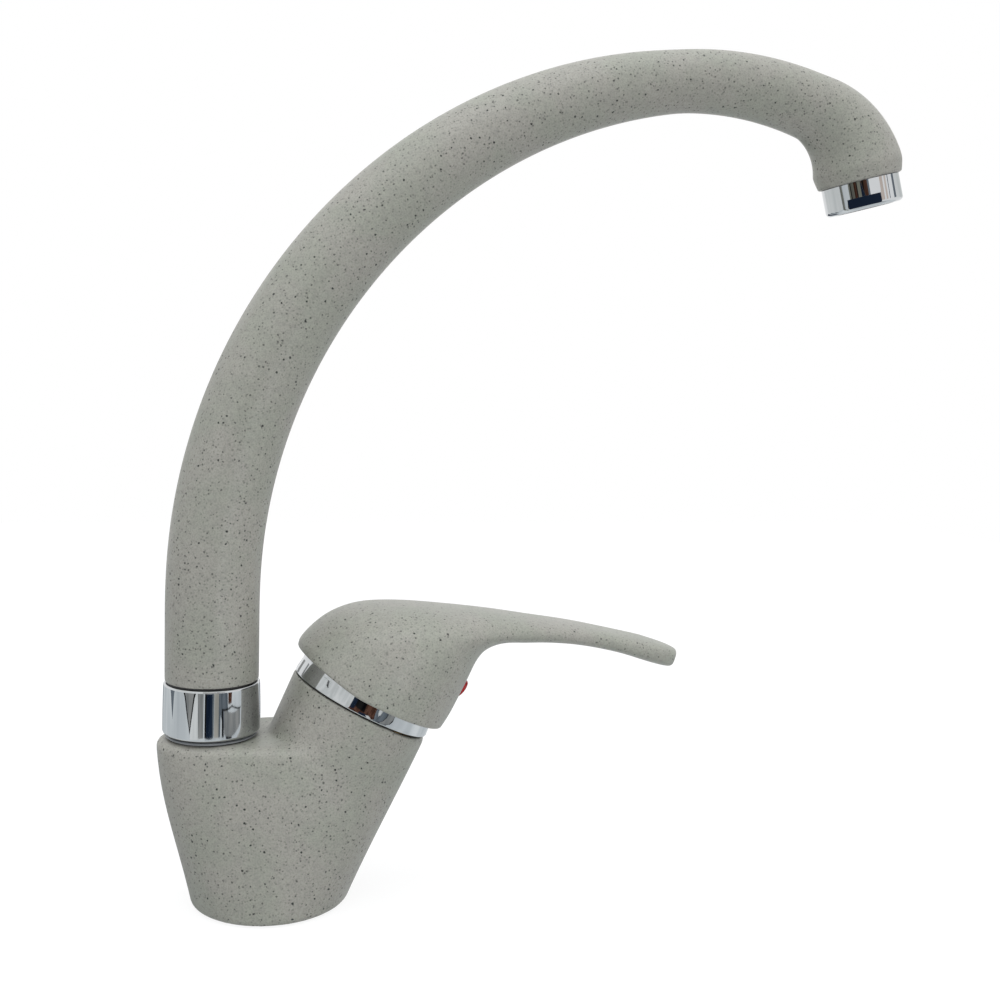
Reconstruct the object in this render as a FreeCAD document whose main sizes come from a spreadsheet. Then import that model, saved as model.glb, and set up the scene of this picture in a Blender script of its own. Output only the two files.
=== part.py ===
# Single-lever kitchen mixer with a high swivel spout, in millimetres and degrees.
# +Z is up and the deck is Z = 0. The origin is the centre of the round base on the deck.
# The spout and the lever point along +X.
import FreeCAD, Part
import Sketcher
import math
import os
import re

Vector = FreeCAD.Vector
UP = Vector(0, 0, 1)
ASIDE = Vector(0, 1, 0)

SIZES = {
    # body casting
    "base_radius": 25.2, "base_rounding": 0.8, "seat_height": 54.8, "seat_rounding": 2.8,
    "seat_slope": 3.6, "seat_radius": 17.3, "riser_offset": 19.0, "side_radius": 500.0,
    "flank_bulge": 1.5, "rim_offset": 28.8, "rim_height": 63.1, "tower_tilt": 27.24,
    "tower_radius": 24.2, "tower_foot": 22.0, "tower_bulge": 0.6,
    "cavity_radius": 20.2, "cavity_depth": 12.0,
    "gasket_inner": 21.2, "gasket_outer": 23.6, "gasket_height": 1.6,
    # supply inlets and fixing stud, seen from below
    "inlet_spread": 8.0, "inlet_radius": 4.6, "port_radius": 3.2,
    "stud_offset": 13.0, "stud_radius": 3.4, "stud_cover": 2.5,
    "channel_radius": 3.0, "channel_drop": 2.48, "outlet_shift": 8.5, "outlet_depth": 6.0,
    # swivel joint of the spout
    "socket_radius": 9.55, "socket_lift": 1.1, "neck_radius": 12.4, "neck_height": 12.4,
    "running_gap": 0.05, "neck_ring_width": 2.1, "neck_ring_height": 1.5,
    "collar_wall": 2.9, "collar_draw": 0.25, "collar_height": 16.1,
    "collar_chamfer": 0.45, "washer_height": 0.5, "washer_radius": 14.2,
    "stub_foot": 3.4, "stub_socket_depth": 18.0, "stub_socket_radius": 11.4, "stub_bore": 7.0,
    "clip_height": 1.7, "clip_radius": 12.0, "groove_depth": 1.3, "clip_slot": 2.4,
    "seal_wire": 0.85, "seal_first": 9.0, "seal_second": 19.0,
    # spout, along its centre line
    "riser_length": 26.0, "great_bend": 176.0, "great_angle": 81.99, "crown_bend": 119.1,
    "crown_angle": 25.02, "head_bend": 28.0, "head_angle": 57.4, "mouth_length": 4.95,
    "foot_radius": 14.73, "middle_radius": 13.66, "crown_radius": 10.25, "slope_radius": 10.75,
    "shoulder_radius": 11.3, "head_radius": 15.6, "mouth_radius": 14.53, "spout_wall": 3.6,
    "edge_rounding": 0.8,
    # aerator
    "thread_radius": 12.0, "thread_depth": 6.0, "seal_height": 1.0, "aerator_radius": 13.4,
    "aerator_height": 9.8, "aerator_bore": 10.6, "aerator_lip": 0.5, "aerator_chamfer": 1.4,
    "flat_apart": 24.3, "flat_width": 11.3, "flat_height": 3.3, "flat_lift": 1.8, "flat_turn": -60.0,
    "screen_height": 1.2, "screen_hole": 0.75, "screen_pitch": 2.3,
    # cartridge, measured up from its floor in the tower
    "cartridge_depth": 34.0, "cartridge_radius": 19.95, "cartridge_gap": 0.2, "shell_wall": 1.85,
    "shell_height": 26.0, "shell_roof": 1.7, "base_height": 4.5, "base_flange": 3.0,
    "disc_height": 3.5, "disc_gap": 0.1, "port_lead": 4.0, "seal_radius": 4.8, "port_seal_height": 1.0,
    "mover_margin": 0.4, "carrier_gap": 0.6, "flange_height": 4.6, "tongue_height": 2.5,
    "tongue_width": 12.0, "tongue_length": 22.0, "flange_radius": 16.6, "neck_turn_radius": 12.8,
    "turret_top": 5.5, "slot_width": 8.4, "slot_length": 12.2,
    # stem and its pin
    "ball_sink": 1.5, "ball_radius": 3.1, "arm_radius": 2.45, "stem_side": 8.0, "stem_top": 29.8,
    "lean_angle": 12.5, "pin_radius": 1.75, "pin_length": 22.0, "pocket_gap": 0.2,
    # clamp nut and trim ring
    "nut_radius": 21.2, "nut_bore": 14.4, "boss_radius": 19.4, "boss_height": 4.4,
    "band_radius": 24.1, "band_height": 6.5, "band_taper": 0.6, "dome_height": 11.0, "dome_bore": 14.6,
    # lever
    "hood_cavity": 26.0, "hood_radius": 27.5, "relief_start": 8.0, "relief_level": 5.1,
    "relief_angle": 8.4, "socket_boss": 7.6, "boss_start": 14.5, "screw_level": 24.5,
    "screw_radius": 2.5, "screw_length": 9.5, "plug_radius": 3.5, "plug_seat": 22.0,
    "plug_height": 2.8, "tip_rounding": 1.5, "tip_length": 11.6, "tip_narrowing": 8.2,
}

doc = FreeCAD.newDocument("mixer")
sheet = doc.addObject("Spreadsheet::Sheet", "Size")
for line, (word, value) in enumerate(SIZES.items(), start=1):
    sheet.set(f"A{line}", word)
    sheet.set(f"B{line}", str(value))
    sheet.setAlias(f"B{line}", word)
doc.recompute()
nodes = []


def linked(text):
    """An expression with the sheet's name before each of its sizes."""
    return re.sub(r"[a-z]+(_[a-z]+)+", lambda word: "Size." + word.group(), str(text))


def worth(text):
    """The number that an expression of the sheet's sizes stands for."""
    return float(sheet.evalExpression(linked(text)))


def set_place(piece, across="0", aside="0", height="0", tilt="0"):
    """Put a piece at a point, leaning by an angle from +Z towards +X."""
    piece.Placement = FreeCAD.Placement(Vector(), FreeCAD.Rotation(ASIDE, 1.0))
    piece.setExpression("Placement.Base.x", linked(across))
    piece.setExpression("Placement.Base.y", linked(aside))
    piece.setExpression("Placement.Base.z", linked(height))
    piece.setExpression("Placement.Rotation.Angle", linked(tilt))
    return piece


def rod(name, radius, low, high, across="0", aside="0"):
    """A round bar along Z between two heights."""
    piece = doc.addObject("Part::Cylinder", name)
    piece.setExpression("Radius", linked(radius))
    piece.setExpression("Height", linked(f"({high}) - ({low})"))
    return set_place(piece, across, aside, low)


def cone(name, low_radius, high_radius, low, high):
    """A cone on the Z axis between two heights."""
    piece = doc.addObject("Part::Cone", name)
    piece.setExpression("Radius1", linked(low_radius))
    piece.setExpression("Radius2", linked(high_radius))
    piece.setExpression("Height", linked(f"({high}) - ({low})"))
    return set_place(piece, height=low)


def block(name, length, width, low, high, across="0", aside="0"):
    """A box between two heights, centred across and aside."""
    piece = doc.addObject("Part::Box", name)
    piece.setExpression("Length", linked(length))
    piece.setExpression("Width", linked(width))
    piece.setExpression("Height", linked(f"({high}) - ({low})"))
    return set_place(piece, f"({across}) - ({length}) / 2", f"({aside}) - ({width}) / 2", low)


def ball(name, radius, height="0"):
    """A ball on the Z axis."""
    piece = doc.addObject("Part::Sphere", name)
    piece.setExpression("Radius", linked(radius))
    return set_place(piece, height=height)


def seal(name, ring_radius, wire_radius, height="0"):
    """A round rubber ring about Z."""
    piece = doc.addObject("Part::Torus", name)
    piece.setExpression("Radius1", linked(ring_radius))
    piece.setExpression("Radius2", linked(wire_radius))
    return set_place(piece, height=height)


def join(name, *pieces):
    """Several solids as one."""
    whole = doc.addObject("Part::MultiFuse", name)
    whole.Shapes = list(pieces)
    return whole


def group(name, *pieces):
    """Several like solids that stay apart, under one name."""
    whole = doc.addObject("Part::Compound", name)
    whole.Links = list(pieces)
    return whole


def carve(name, solid, *tools):
    """A solid less its tools."""
    rest = doc.addObject("Part::Cut", name)
    rest.Base = solid
    rest.Tool = tools[0] if len(tools) == 1 else join(name + "_tools", *tools)
    return rest


def made(name, shape):
    """A shape worked out here from the sheet's sizes."""
    piece = doc.addObject("Part::Feature", name)
    piece.Shape = shape
    return piece


def turned(name, outline):
    """A ring turned about Z. The outline is (radius, height above the ring's foot) all round."""
    body = doc.addObject("PartDesign::Body", name)
    plane = [part for part in body.Origin.OriginFeatures if part.Role == "XZ_Plane"][0]
    sketch = body.newObject("Sketcher::SketchObject", name + "_outline")
    sketch.AttachmentSupport = [(plane, "")]
    sketch.MapMode = "FlatFace"
    corners = [Vector(worth(radius), worth(height), 0) for radius, height in outline]
    for start, end in zip(corners, corners[1:] + corners[:1]):
        sketch.addGeometry(Part.LineSegment(start, end), False)
    for line, (radius, height) in enumerate(outline):
        following = (line + 1) % len(outline)
        sketch.addConstraint(Sketcher.Constraint("Coincident", line, 2, following, 1))
    for line, (radius, height) in enumerate(outline):
        place = sketch.addConstraint(Sketcher.Constraint("DistanceX", -1, 1, line, 1, corners[line].x))
        sketch.setExpression(f"Constraints[{place}]", linked(radius))
        if height == "0":
            sketch.addConstraint(Sketcher.Constraint("PointOnObject", line, 1, -1))
        else:
            place = sketch.addConstraint(Sketcher.Constraint("DistanceY", -1, 1, line, 1, corners[line].y))
            sketch.setExpression(f"Constraints[{place}]", linked(height))
    ring = body.newObject("PartDesign::Revolution", name + "_turned")
    ring.Profile = sketch
    ring.ReferenceAxis = (sketch, ["V_Axis"])
    ring.Angle = 360.0
    return body


def on_riser(piece, height="0"):
    """Place a piece on the spout's swivel axis."""
    return set_place(piece, "-riser_offset", "0", height)


def on_tower(piece, height="0", ahead="0"):
    """Place a piece on the tilted cartridge axis. Heights are counted from the tower's rim."""
    return set_place(piece, f"rim_offset + ({height}) * sin(tower_tilt) + ({ahead}) * cos(tower_tilt)",
                     "0", f"rim_height + ({height}) * cos(tower_tilt) - ({ahead}) * sin(tower_tilt)",
                     "tower_tilt")


def node(name, piece):
    """Keep a finished sub-part under its own name."""
    piece.Label = name
    nodes.append(piece)
    return piece


# Heights above the cartridge floor, and the floor's own level below the rim.
FLOOR = "-cartridge_depth"
FIXED_TOP = "(base_height + disc_height)"
MOVER_FOOT = f"({FIXED_TOP} + running_gap)"
MOVER_TOP = f"({MOVER_FOOT} + disc_height - running_gap)"
ROOF = "(shell_height - shell_roof)"
FLANGE_FOOT = f"({ROOF} - disc_gap - flange_height)"
CARRIER_TOP = f"({FLANGE_FOOT} - disc_gap)"
SHELL_BORE = "(cartridge_radius - shell_wall)"
NUT_DEPTH = "(cartridge_depth - shell_height)"
# The stem's arm reaches from its pin at the rim down to its ball in the carrier.
ARM_LENGTH = f"(cartridge_depth - {CARRIER_TOP} + ball_sink)"
TRAVEL = f"({ARM_LENGTH} * sin(lean_angle))"
CARRIER_RADIUS = f"({SHELL_BORE} - {TRAVEL} - carrier_gap)"
# The waterways under the cartridge: its inlets, and the channel from its outlet to the socket.
INLET_OFFSET = "(rim_offset - cartridge_depth * sin(tower_tilt) - port_lead * cos(tower_tilt))"
OUTLET_LEVEL = "(rim_height - cartridge_depth * cos(tower_tilt) - outlet_shift * sin(tower_tilt))"
CHANNEL_HEIGHT = f"({OUTLET_LEVEL} - channel_drop)"
SOCKET_FLOOR = f"({CHANNEL_HEIGHT} - channel_radius + socket_lift)"
STUB_FOOT = f"({SOCKET_FLOOR} + stub_foot)"
NECK_TOP = "(seat_height + neck_height)"
COLLAR_RADIUS = "(neck_radius + collar_wall)"
COLLAR_FOOT = "(neck_ring_height + running_gap)"
COLLAR_TOP = "(seat_height + neck_ring_height + running_gap + collar_height)"
SPOUT_FOOT = f"({COLLAR_TOP} + washer_height + 2 * running_gap)"


def oval(height, back, back_radius, front, front_radius, side_radius, inset=0.0):
    """A level closed curve: a back arc and a front arc joined by two long side arcs."""
    gap = front - back
    to_back = side_radius - back_radius
    to_front = side_radius - front_radius
    along = (to_back ** 2 - to_front ** 2 + gap ** 2) / (2 * gap)
    aside = math.sqrt(to_back ** 2 - along ** 2)
    centre = Vector(back + along, -aside, 0)
    front_normal = (Vector(front, 0, 0) - centre).normalize()
    back_normal = (Vector(back, 0, 0) - centre).normalize()
    middle_normal = (front_normal + back_normal).normalize()
    reach = side_radius - inset
    points = [
        Vector(front + front_radius - inset, 0, 0),
        Vector(front, 0, 0) + front_normal * (front_radius - inset),
        centre + middle_normal * reach,
        Vector(back, 0, 0) + back_normal * (back_radius - inset),
        Vector(back - back_radius + inset, 0, 0),
    ]
    return arc_outline(points, height)


def arc_outline(points, height):
    """Four arcs through an oval's tip, joints, flanks and tail, mirrored across the XZ plane."""
    tip, front_joint, flank, back_joint, tail = points

    def at(point, sign=1):
        return Vector(point.x, sign * point.y, height)

    front_arc = Part.Arc(at(front_joint, -1), at(tip), at(front_joint)).toShape()
    left_arc = Part.Arc(at(front_joint), at(flank), at(back_joint)).toShape()
    back_arc = Part.Arc(at(back_joint), at(tail), at(back_joint, -1)).toShape()
    right_arc = Part.Arc(at(back_joint, -1), at(flank, -1), at(front_joint, -1)).toShape()
    return Part.Wire([front_arc, left_arc, back_arc, right_arc])


def ring_outline(radius, front_angle, back_angle, height=0.0):
    """A level circle cut at the same places as an oval, so that the two can be joined."""
    def at(angle, sign=1):
        turn = math.radians(angle)
        return Vector(radius * math.cos(turn), sign * radius * math.sin(turn), height)

    middle = (front_angle + back_angle) / 2
    front_arc = Part.Arc(at(front_angle, -1), at(0), at(front_angle)).toShape()
    left_arc = Part.Arc(at(front_angle), at(middle), at(back_angle)).toShape()
    back_arc = Part.Arc(at(back_angle), at(180), at(back_angle, -1)).toShape()
    right_arc = Part.Arc(at(back_angle, -1), at(middle, -1), at(front_angle, -1)).toShape()
    return Part.Wire([front_arc, left_arc, back_arc, right_arc])


def leaning_circle(radius, place, lean):
    """A circle about a point, its axis leaning by an angle in degrees from +Z towards +X."""
    circle = Part.makeCircle(radius)
    circle.rotate(Vector(), ASIDE, lean)
    circle.translate(place)
    return Part.Wire([circle])


def casting_section(height, inset=0.0):
    """The body's outline at a height: egg-shaped, with the tower's own ellipse as its front."""
    share = height / worth("seat_height")
    swell = math.sin(math.pi * share ** 1.6)
    base = worth("base_radius")
    squeeze = math.cos(math.radians(worth("tower_tilt")) * share)
    slope = math.tan(math.radians(worth("tower_tilt")))
    front = share * (worth("rim_offset") - (worth("rim_height") - worth("seat_height")) * slope)
    front_radius = base + (worth("tower_radius") - base) * share + worth("tower_bulge") * swell
    back_radius = base + (worth("seat_radius") - base) * share + worth("flank_bulge") * swell
    tail = base + (worth("riser_offset") + worth("seat_radius") - base) * share
    tail += worth("flank_bulge") * swell
    side_radius = base + (worth("side_radius") - base) * share
    outline = oval(height, back_radius - tail * squeeze, back_radius, front * squeeze, front_radius,
                   side_radius, inset)
    stretch = FreeCAD.Matrix()
    stretch.A11 = 1 / squeeze
    return Part.Wire(outline.transformGeometry(stretch).Edges)


def seat_casting():
    """The body from the round base up to the flat seat, with the seat's edge rounded over."""
    rounding = worth("seat_rounding")
    corner = worth("seat_height") - rounding
    levels = [ring_outline(worth("base_radius"), 84, 108)]
    levels += [casting_section(corner * share) for share in (0.15, 0.4, 0.7, 1.0)]
    edge = []
    for turn in (0, 30, 60, 88):
        around = math.radians(turn)
        inset = worth("seat_slope") * (1 - math.cos(around))
        edge.append(casting_section(corner + rounding * math.sin(around), inset))
    flank = Part.makeLoft(levels, True, False)
    foot = [rim for rim in flank.Edges if rim.BoundBox.ZMax < 0.01]
    return flank.makeFillet(worth("base_rounding"), foot).fuse(Part.makeLoft(edge, True, False))


def make_body():
    """The brass casting with its seat, neck, tower, cartridge bore and waterways."""
    flank = made("seat_casting", seat_casting())
    barrel = on_tower(cone("tower_barrel", "tower_foot", "tower_radius", FLOOR, "0"), FLOOR)
    neck = on_riser(rod("neck", "neck_radius", "0", "neck_height + neck_radius"), "seat_height - neck_radius")
    outside = join("body_outside", flank, barrel, neck)

    above_rim = on_tower(group("above_rim", block(
        "above_rim_block", "4 * tower_radius", "4 * tower_radius", "0", "2 * tower_radius")))
    tower_bores = on_tower(join(
        "tower_bores",
        rod("cartridge_bore", "cartridge_radius + cartridge_gap", FLOOR, "1"),
        rod("nut_bore_thread", "nut_radius", f"-{NUT_DEPTH}", "1"),
        rod("outlet_port", "port_radius", f"{FLOOR} - outlet_depth", FLOOR, "outlet_shift"),
    ))
    socket = on_riser(rod("spout_socket", "socket_radius", SOCKET_FLOOR, f"{NECK_TOP} + 1"), SOCKET_FLOOR)
    channel = rod("cross_channel", "channel_radius", "0", "riser_offset + rim_offset + outlet_shift"
                  " - cartridge_depth * 0.5")
    set_place(channel, "-riser_offset", "0", CHANNEL_HEIGHT, "90")
    inlet_top = f"{OUTLET_LEVEL} + (outlet_shift + port_lead + 2 * port_radius) * sin(tower_tilt)"
    thread_top = f"{CHANNEL_HEIGHT} - channel_radius"
    low_tools = [
        rod("underside", "cavity_radius", "-1", "cavity_depth"),
        carve("gasket_groove", rod("groove_outer", "gasket_outer", "-1", "gasket_height"),
              rod("groove_inner", "gasket_inner", "-1", "gasket_height")),
        rod("stud_hole", "stud_radius", "0", f"{thread_top} - stud_cover", "-stud_offset"),
    ]
    for side in ("", "-"):
        spot = f"{side}inlet_spread"
        low_tools.append(rod("inlet_thread", "inlet_radius", "0", thread_top, INLET_OFFSET, spot))
        low_tools.append(rod("inlet_port", "port_radius", "0", inlet_top, INLET_OFFSET, spot))
    return node("body", carve("body_casting", outside, above_rim, tower_bores, socket, channel, *low_tools))


def make_base_gasket():
    """The rubber ring between the base and the deck."""
    return node("base_gasket", turned("gasket_ring", [
        ("gasket_inner", "0"), ("gasket_outer", "0"),
        ("gasket_outer", "gasket_height"), ("gasket_inner", "gasket_height")]))


def make_neck_ring():
    """The thin ring between the body's seat and the collar."""
    bore = "neck_radius + running_gap"
    rim = "neck_radius + neck_ring_width"
    ring = turned("seat_ring", [
        (bore, "0"), (rim, "0"), (rim, "neck_ring_height"), (bore, "neck_ring_height")])
    return node("neck_ring", on_riser(ring, "seat_height"))


def make_spout_collar():
    """The chromed nut on the neck. Its lip keeps the split ring, and so the spout, down."""
    lip = "socket_radius + 3 * running_gap"
    chamber = "neck_height - neck_ring_height + clip_height + running_gap"
    waist = f"{COLLAR_RADIUS} - collar_draw"
    nut = turned("collar_nut", [
        ("neck_radius + running_gap", "0"), (f"{COLLAR_RADIUS} - collar_chamfer", "0"),
        (COLLAR_RADIUS, "collar_chamfer"), (COLLAR_RADIUS, "collar_height / 4"),
        (waist, "collar_height / 2"), (waist, "collar_height - collar_chamfer"),
        (f"{waist} - collar_chamfer", "collar_height"), (lip, "collar_height"),
        (lip, chamber), ("neck_radius + running_gap", chamber)])
    return node("spout_collar", on_riser(nut, f"seat_height + {COLLAR_FOOT}"))


def make_slide_washer():
    """The black washer that the spout slides on."""
    washer = turned("slide_ring", [
        ("socket_radius + running_gap", "0"), ("washer_radius", "0"),
        ("washer_radius", "washer_height"), ("socket_radius + running_gap", "washer_height")])
    return node("slide_washer", on_riser(washer, f"{COLLAR_TOP} + running_gap"))


def make_spout_stub():
    """The turned insert pressed into the spout: it turns in the body's socket on two seals."""
    shaft = "socket_radius - running_gap"
    clip_foot = f"{NECK_TOP} + running_gap - {STUB_FOOT}"
    clip_top = f"{clip_foot} + clip_height"
    shoulder = f"{SPOUT_FOOT} - {STUB_FOOT}"
    outline = [("stub_bore", "0"), (shaft, "0")]
    for height in ("seal_first", "seal_second"):
        floor = f"{shaft} - 2 * seal_wire - 2 * running_gap"
        for drop, radius in (("-1.2", shaft), ("-1.2", floor), ("+1.2", floor), ("+1.2", shaft)):
            outline.append((radius, f"{height} {drop} * seal_wire"))
    outline += [
        (shaft, clip_foot), (f"{shaft} - groove_depth", clip_foot),
        (f"{shaft} - groove_depth", clip_top), (shaft, clip_top),
        (shaft, shoulder), ("stub_socket_radius", shoulder),
        ("stub_socket_radius", f"{shoulder} + stub_socket_depth - running_gap"),
        ("stub_bore", f"{shoulder} + stub_socket_depth - running_gap")]
    return node("spout_stub", on_riser(turned("stub_insert", outline), STUB_FOOT))


def make_swivel_seals():
    """Two rubber rings in the stub's grooves."""
    centre = "socket_radius - 2 * running_gap - seal_wire"
    for name, height in (("lower_o_ring", "seal_first"), ("upper_o_ring", "seal_second")):
        ring = seal(name + "_wire", centre, "seal_wire")
        node(name, on_riser(ring, f"{STUB_FOOT} + {height}"))


def make_retaining_ring():
    """The split ring that snaps into the stub's groove."""
    inner = "socket_radius - running_gap - groove_depth"
    top = "clip_height - running_gap"
    ring = turned("split_ring", [(inner, "0"), ("clip_radius", "0"), ("clip_radius", top), (inner, top)])
    opening = block("split_gap", "2 * clip_radius", "clip_slot", "-1", "clip_height + 1", "-clip_radius")
    clip = carve("split_clip", ring, opening)
    return node("retaining_ring", on_riser(clip, f"{NECK_TOP} + 1.5 * running_gap"))


def spout_route():
    """Stations along the spout's centre line: place, lean from +Z, length share and radius."""
    bends = [
        (worth("great_bend"), worth("great_angle"), 9,
         worth("foot_radius"), worth("middle_radius"), worth("crown_radius")),
        (worth("crown_bend"), worth("crown_angle"), 3,
         worth("crown_radius"), worth("slope_radius"), worth("shoulder_radius")),
        (worth("head_bend"), worth("head_angle"), 4,
         worth("shoulder_radius"), (worth("shoulder_radius") + worth("head_radius")) / 2,
         worth("head_radius")),
    ]
    start = Vector(-worth("riser_offset"), 0, worth(SPOUT_FOOT))
    rise = worth("riser_length")
    stations = [(start + UP * (rise * share), 0.0, worth("foot_radius")) for share in (0, 0.5, 1)]
    place, lean = stations[-1][0], 0.0
    for bend, angle, steps, first, middle, last in bends:
        centre = place + Vector(math.cos(lean), 0, -math.sin(lean)) * bend
        for step in range(1, steps + 1):
            share = step / steps
            now = lean + math.radians(angle) * share
            spot = centre - Vector(math.cos(now), 0, -math.sin(now)) * bend
            curve = 2 * (first + last - 2 * middle)
            radius = first + (last - first - curve) * share + curve * share * share
            stations.append((spot, now, radius))
        place, lean = stations[-1][0], now
    mouth = place + Vector(math.sin(lean), 0, math.cos(lean)) * worth("mouth_length")
    stations.append((mouth, lean, worth("mouth_radius")))
    return stations


def spout_loft(thinner=0.0, overrun=0.0):
    """A smooth tube through circles that stand square to the centre line."""
    stations = spout_route()
    wires = []
    for number, (place, lean, radius) in enumerate(stations):
        ahead = Vector(math.sin(lean), 0, math.cos(lean))
        shift = {0: -overrun, len(stations) - 1: overrun}.get(number, 0.0)
        wires.append(leaning_circle(radius - thinner, place + ahead * shift, math.degrees(lean)))
    return Part.makeLoft(wires, True, False)


def at_mouth(piece, distance="0"):
    """Place a piece on the mouth's axis. Distances run outward from the spout's end face."""
    end, lean, radius = spout_route()[-1]
    ahead = Vector(math.sin(lean), 0, math.cos(lean))
    for path in ("Placement.Base.x", "Placement.Base.y", "Placement.Base.z", "Placement.Rotation.Angle"):
        piece.setExpression(path, None)
    turn = FreeCAD.Rotation(ASIDE, math.degrees(lean))
    piece.Placement = FreeCAD.Placement(end + ahead * worth(distance), turn)
    return piece


def rounded_ends(shape, radius, keep):
    """Round the circular edges of a shape that a test picks out."""
    edges = [edge for edge in shape.Edges if keep(edge)]
    return shape.makeFillet(radius, edges)


def make_spout():
    """The hollow cast spout."""
    end = spout_route()[-1][0]
    foot = worth(SPOUT_FOOT)

    def is_end(edge):
        centre = edge.BoundBox.Center
        at_foot = abs(centre.z - foot) < 0.01
        at_end = (centre - end).Length < 0.01
        return at_foot or at_end

    outside = made("spout_outside", rounded_ends(spout_loft(), worth("edge_rounding"), is_end))
    waterway = made("spout_waterway", spout_loft(worth("spout_wall"), 1.0))
    socket = rod("stub_socket", "stub_socket_radius", "-1", "stub_socket_depth")
    on_riser(socket, f"{SPOUT_FOOT} - 1")
    mouth = at_mouth(rod("mouth_thread", "thread_radius", "0", "thread_depth + seal_height + 1"),
                     "-thread_depth - seal_height")
    return node("spout", carve("spout_casting", outside, waterway, socket, mouth))


def make_aerator():
    """The screwed-in aerator: housing with two wrench flats, insert, grid and washer."""
    tall = "thread_depth + aerator_height"
    lip = "aerator_bore - aerator_lip"
    housing = turned("aerator_shell", [
        ("aerator_bore", "0"), ("thread_radius", "0"), ("thread_radius", "thread_depth + 2 * running_gap"),
        ("aerator_radius", "thread_depth + 2 * running_gap"),
        ("aerator_radius", f"{tall} - aerator_chamfer"),
        ("aerator_radius - aerator_chamfer / 4", f"{tall} - aerator_chamfer / 3"),
        ("aerator_radius - aerator_chamfer", tall), (lip, tall),
        (lip, f"{tall} - aerator_chamfer"), ("aerator_bore", f"{tall} - aerator_chamfer")])
    flats = []
    low = f"{tall} - flat_lift - flat_height"
    for side in ("", "-"):
        flats.append(block("wrench_flat", "aerator_radius", "flat_width", low, f"{tall} - flat_lift",
                           f"{side}(flat_apart / 2 + aerator_radius / 2)"))
    cutter = join("wrench_flats", *flats)
    cutter.setExpression("Placement.Rotation.Angle", linked("flat_turn"))
    cutter.Placement = FreeCAD.Placement(Vector(), FreeCAD.Rotation(UP, worth("flat_turn")))
    node("aerator_housing", at_mouth(carve("aerator_shell_cut", housing, cutter), "-thread_depth"))

    washer = turned("mouth_seal", [
        ("mouth_radius - spout_wall - 1", "0"), ("thread_radius - running_gap", "0"),
        ("thread_radius - running_gap", "seal_height"), ("mouth_radius - spout_wall - 1", "seal_height")])
    node("aerator_washer", at_mouth(washer, "-thread_depth - seal_height"))

    grid_foot = f"{tall} - aerator_chamfer - screen_height"
    insert = rod("jet_block", "aerator_bore - running_gap", "0", grid_foot)
    jets = [rod("jet_funnel", "aerator_bore / 2", "thread_depth / 2", f"{grid_foot} + 1")]
    for number in range(8):
        turn = math.radians(45 * number)
        jets.append(rod("jet", "screen_hole", "-1", f"{grid_foot} + 1",
                        f"aerator_bore * {0.75 * math.cos(turn):.4f}",
                        f"aerator_bore * {0.75 * math.sin(turn):.4f}"))
    node("aerator_insert", at_mouth(carve("jet_insert", insert, *jets), "-thread_depth"))

    plate = rod("grid_plate", "aerator_bore - running_gap", "0", "screen_height")
    holes = []
    for row in range(-3, 4):
        for place in range(-3, 4):
            step = place + row / 2
            if math.hypot(step, row * 0.866) < 3.3:
                holes.append(rod("grid_hole", "screen_hole", "-1", "screen_height + 1",
                                 f"screen_pitch * {step}", f"screen_pitch * {row * 0.866:.4f}"))
    screen_foot = "aerator_height - aerator_chamfer - screen_height"
    node("aerator_screen", at_mouth(carve("grid", plate, *holes), screen_foot))


def port_places():
    """The cartridge's two inlets and its outlet, about the cartridge axis."""
    return (("-port_lead", "inlet_spread"), ("-port_lead", "-inlet_spread"), ("outlet_shift", "0"))


def port_holes(name, radius, low, high):
    """One round hole at each port."""
    return [rod(name, radius, low, high, across, aside) for across, aside in port_places()]


def make_port_seals(name, height):
    """A short rubber tube round each port."""
    tubes = []
    for across, aside in port_places():
        tubes.append(carve(name + "_tube",
                           rod(name + "_outer", "seal_radius", "0", "port_seal_height", across, aside),
                           rod(name + "_inner", "port_radius", "-1", "port_seal_height + 1", across, aside)))
    return node(name, on_tower(group(name + "_set", *tubes), f"{FLOOR} + {height}"))


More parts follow.
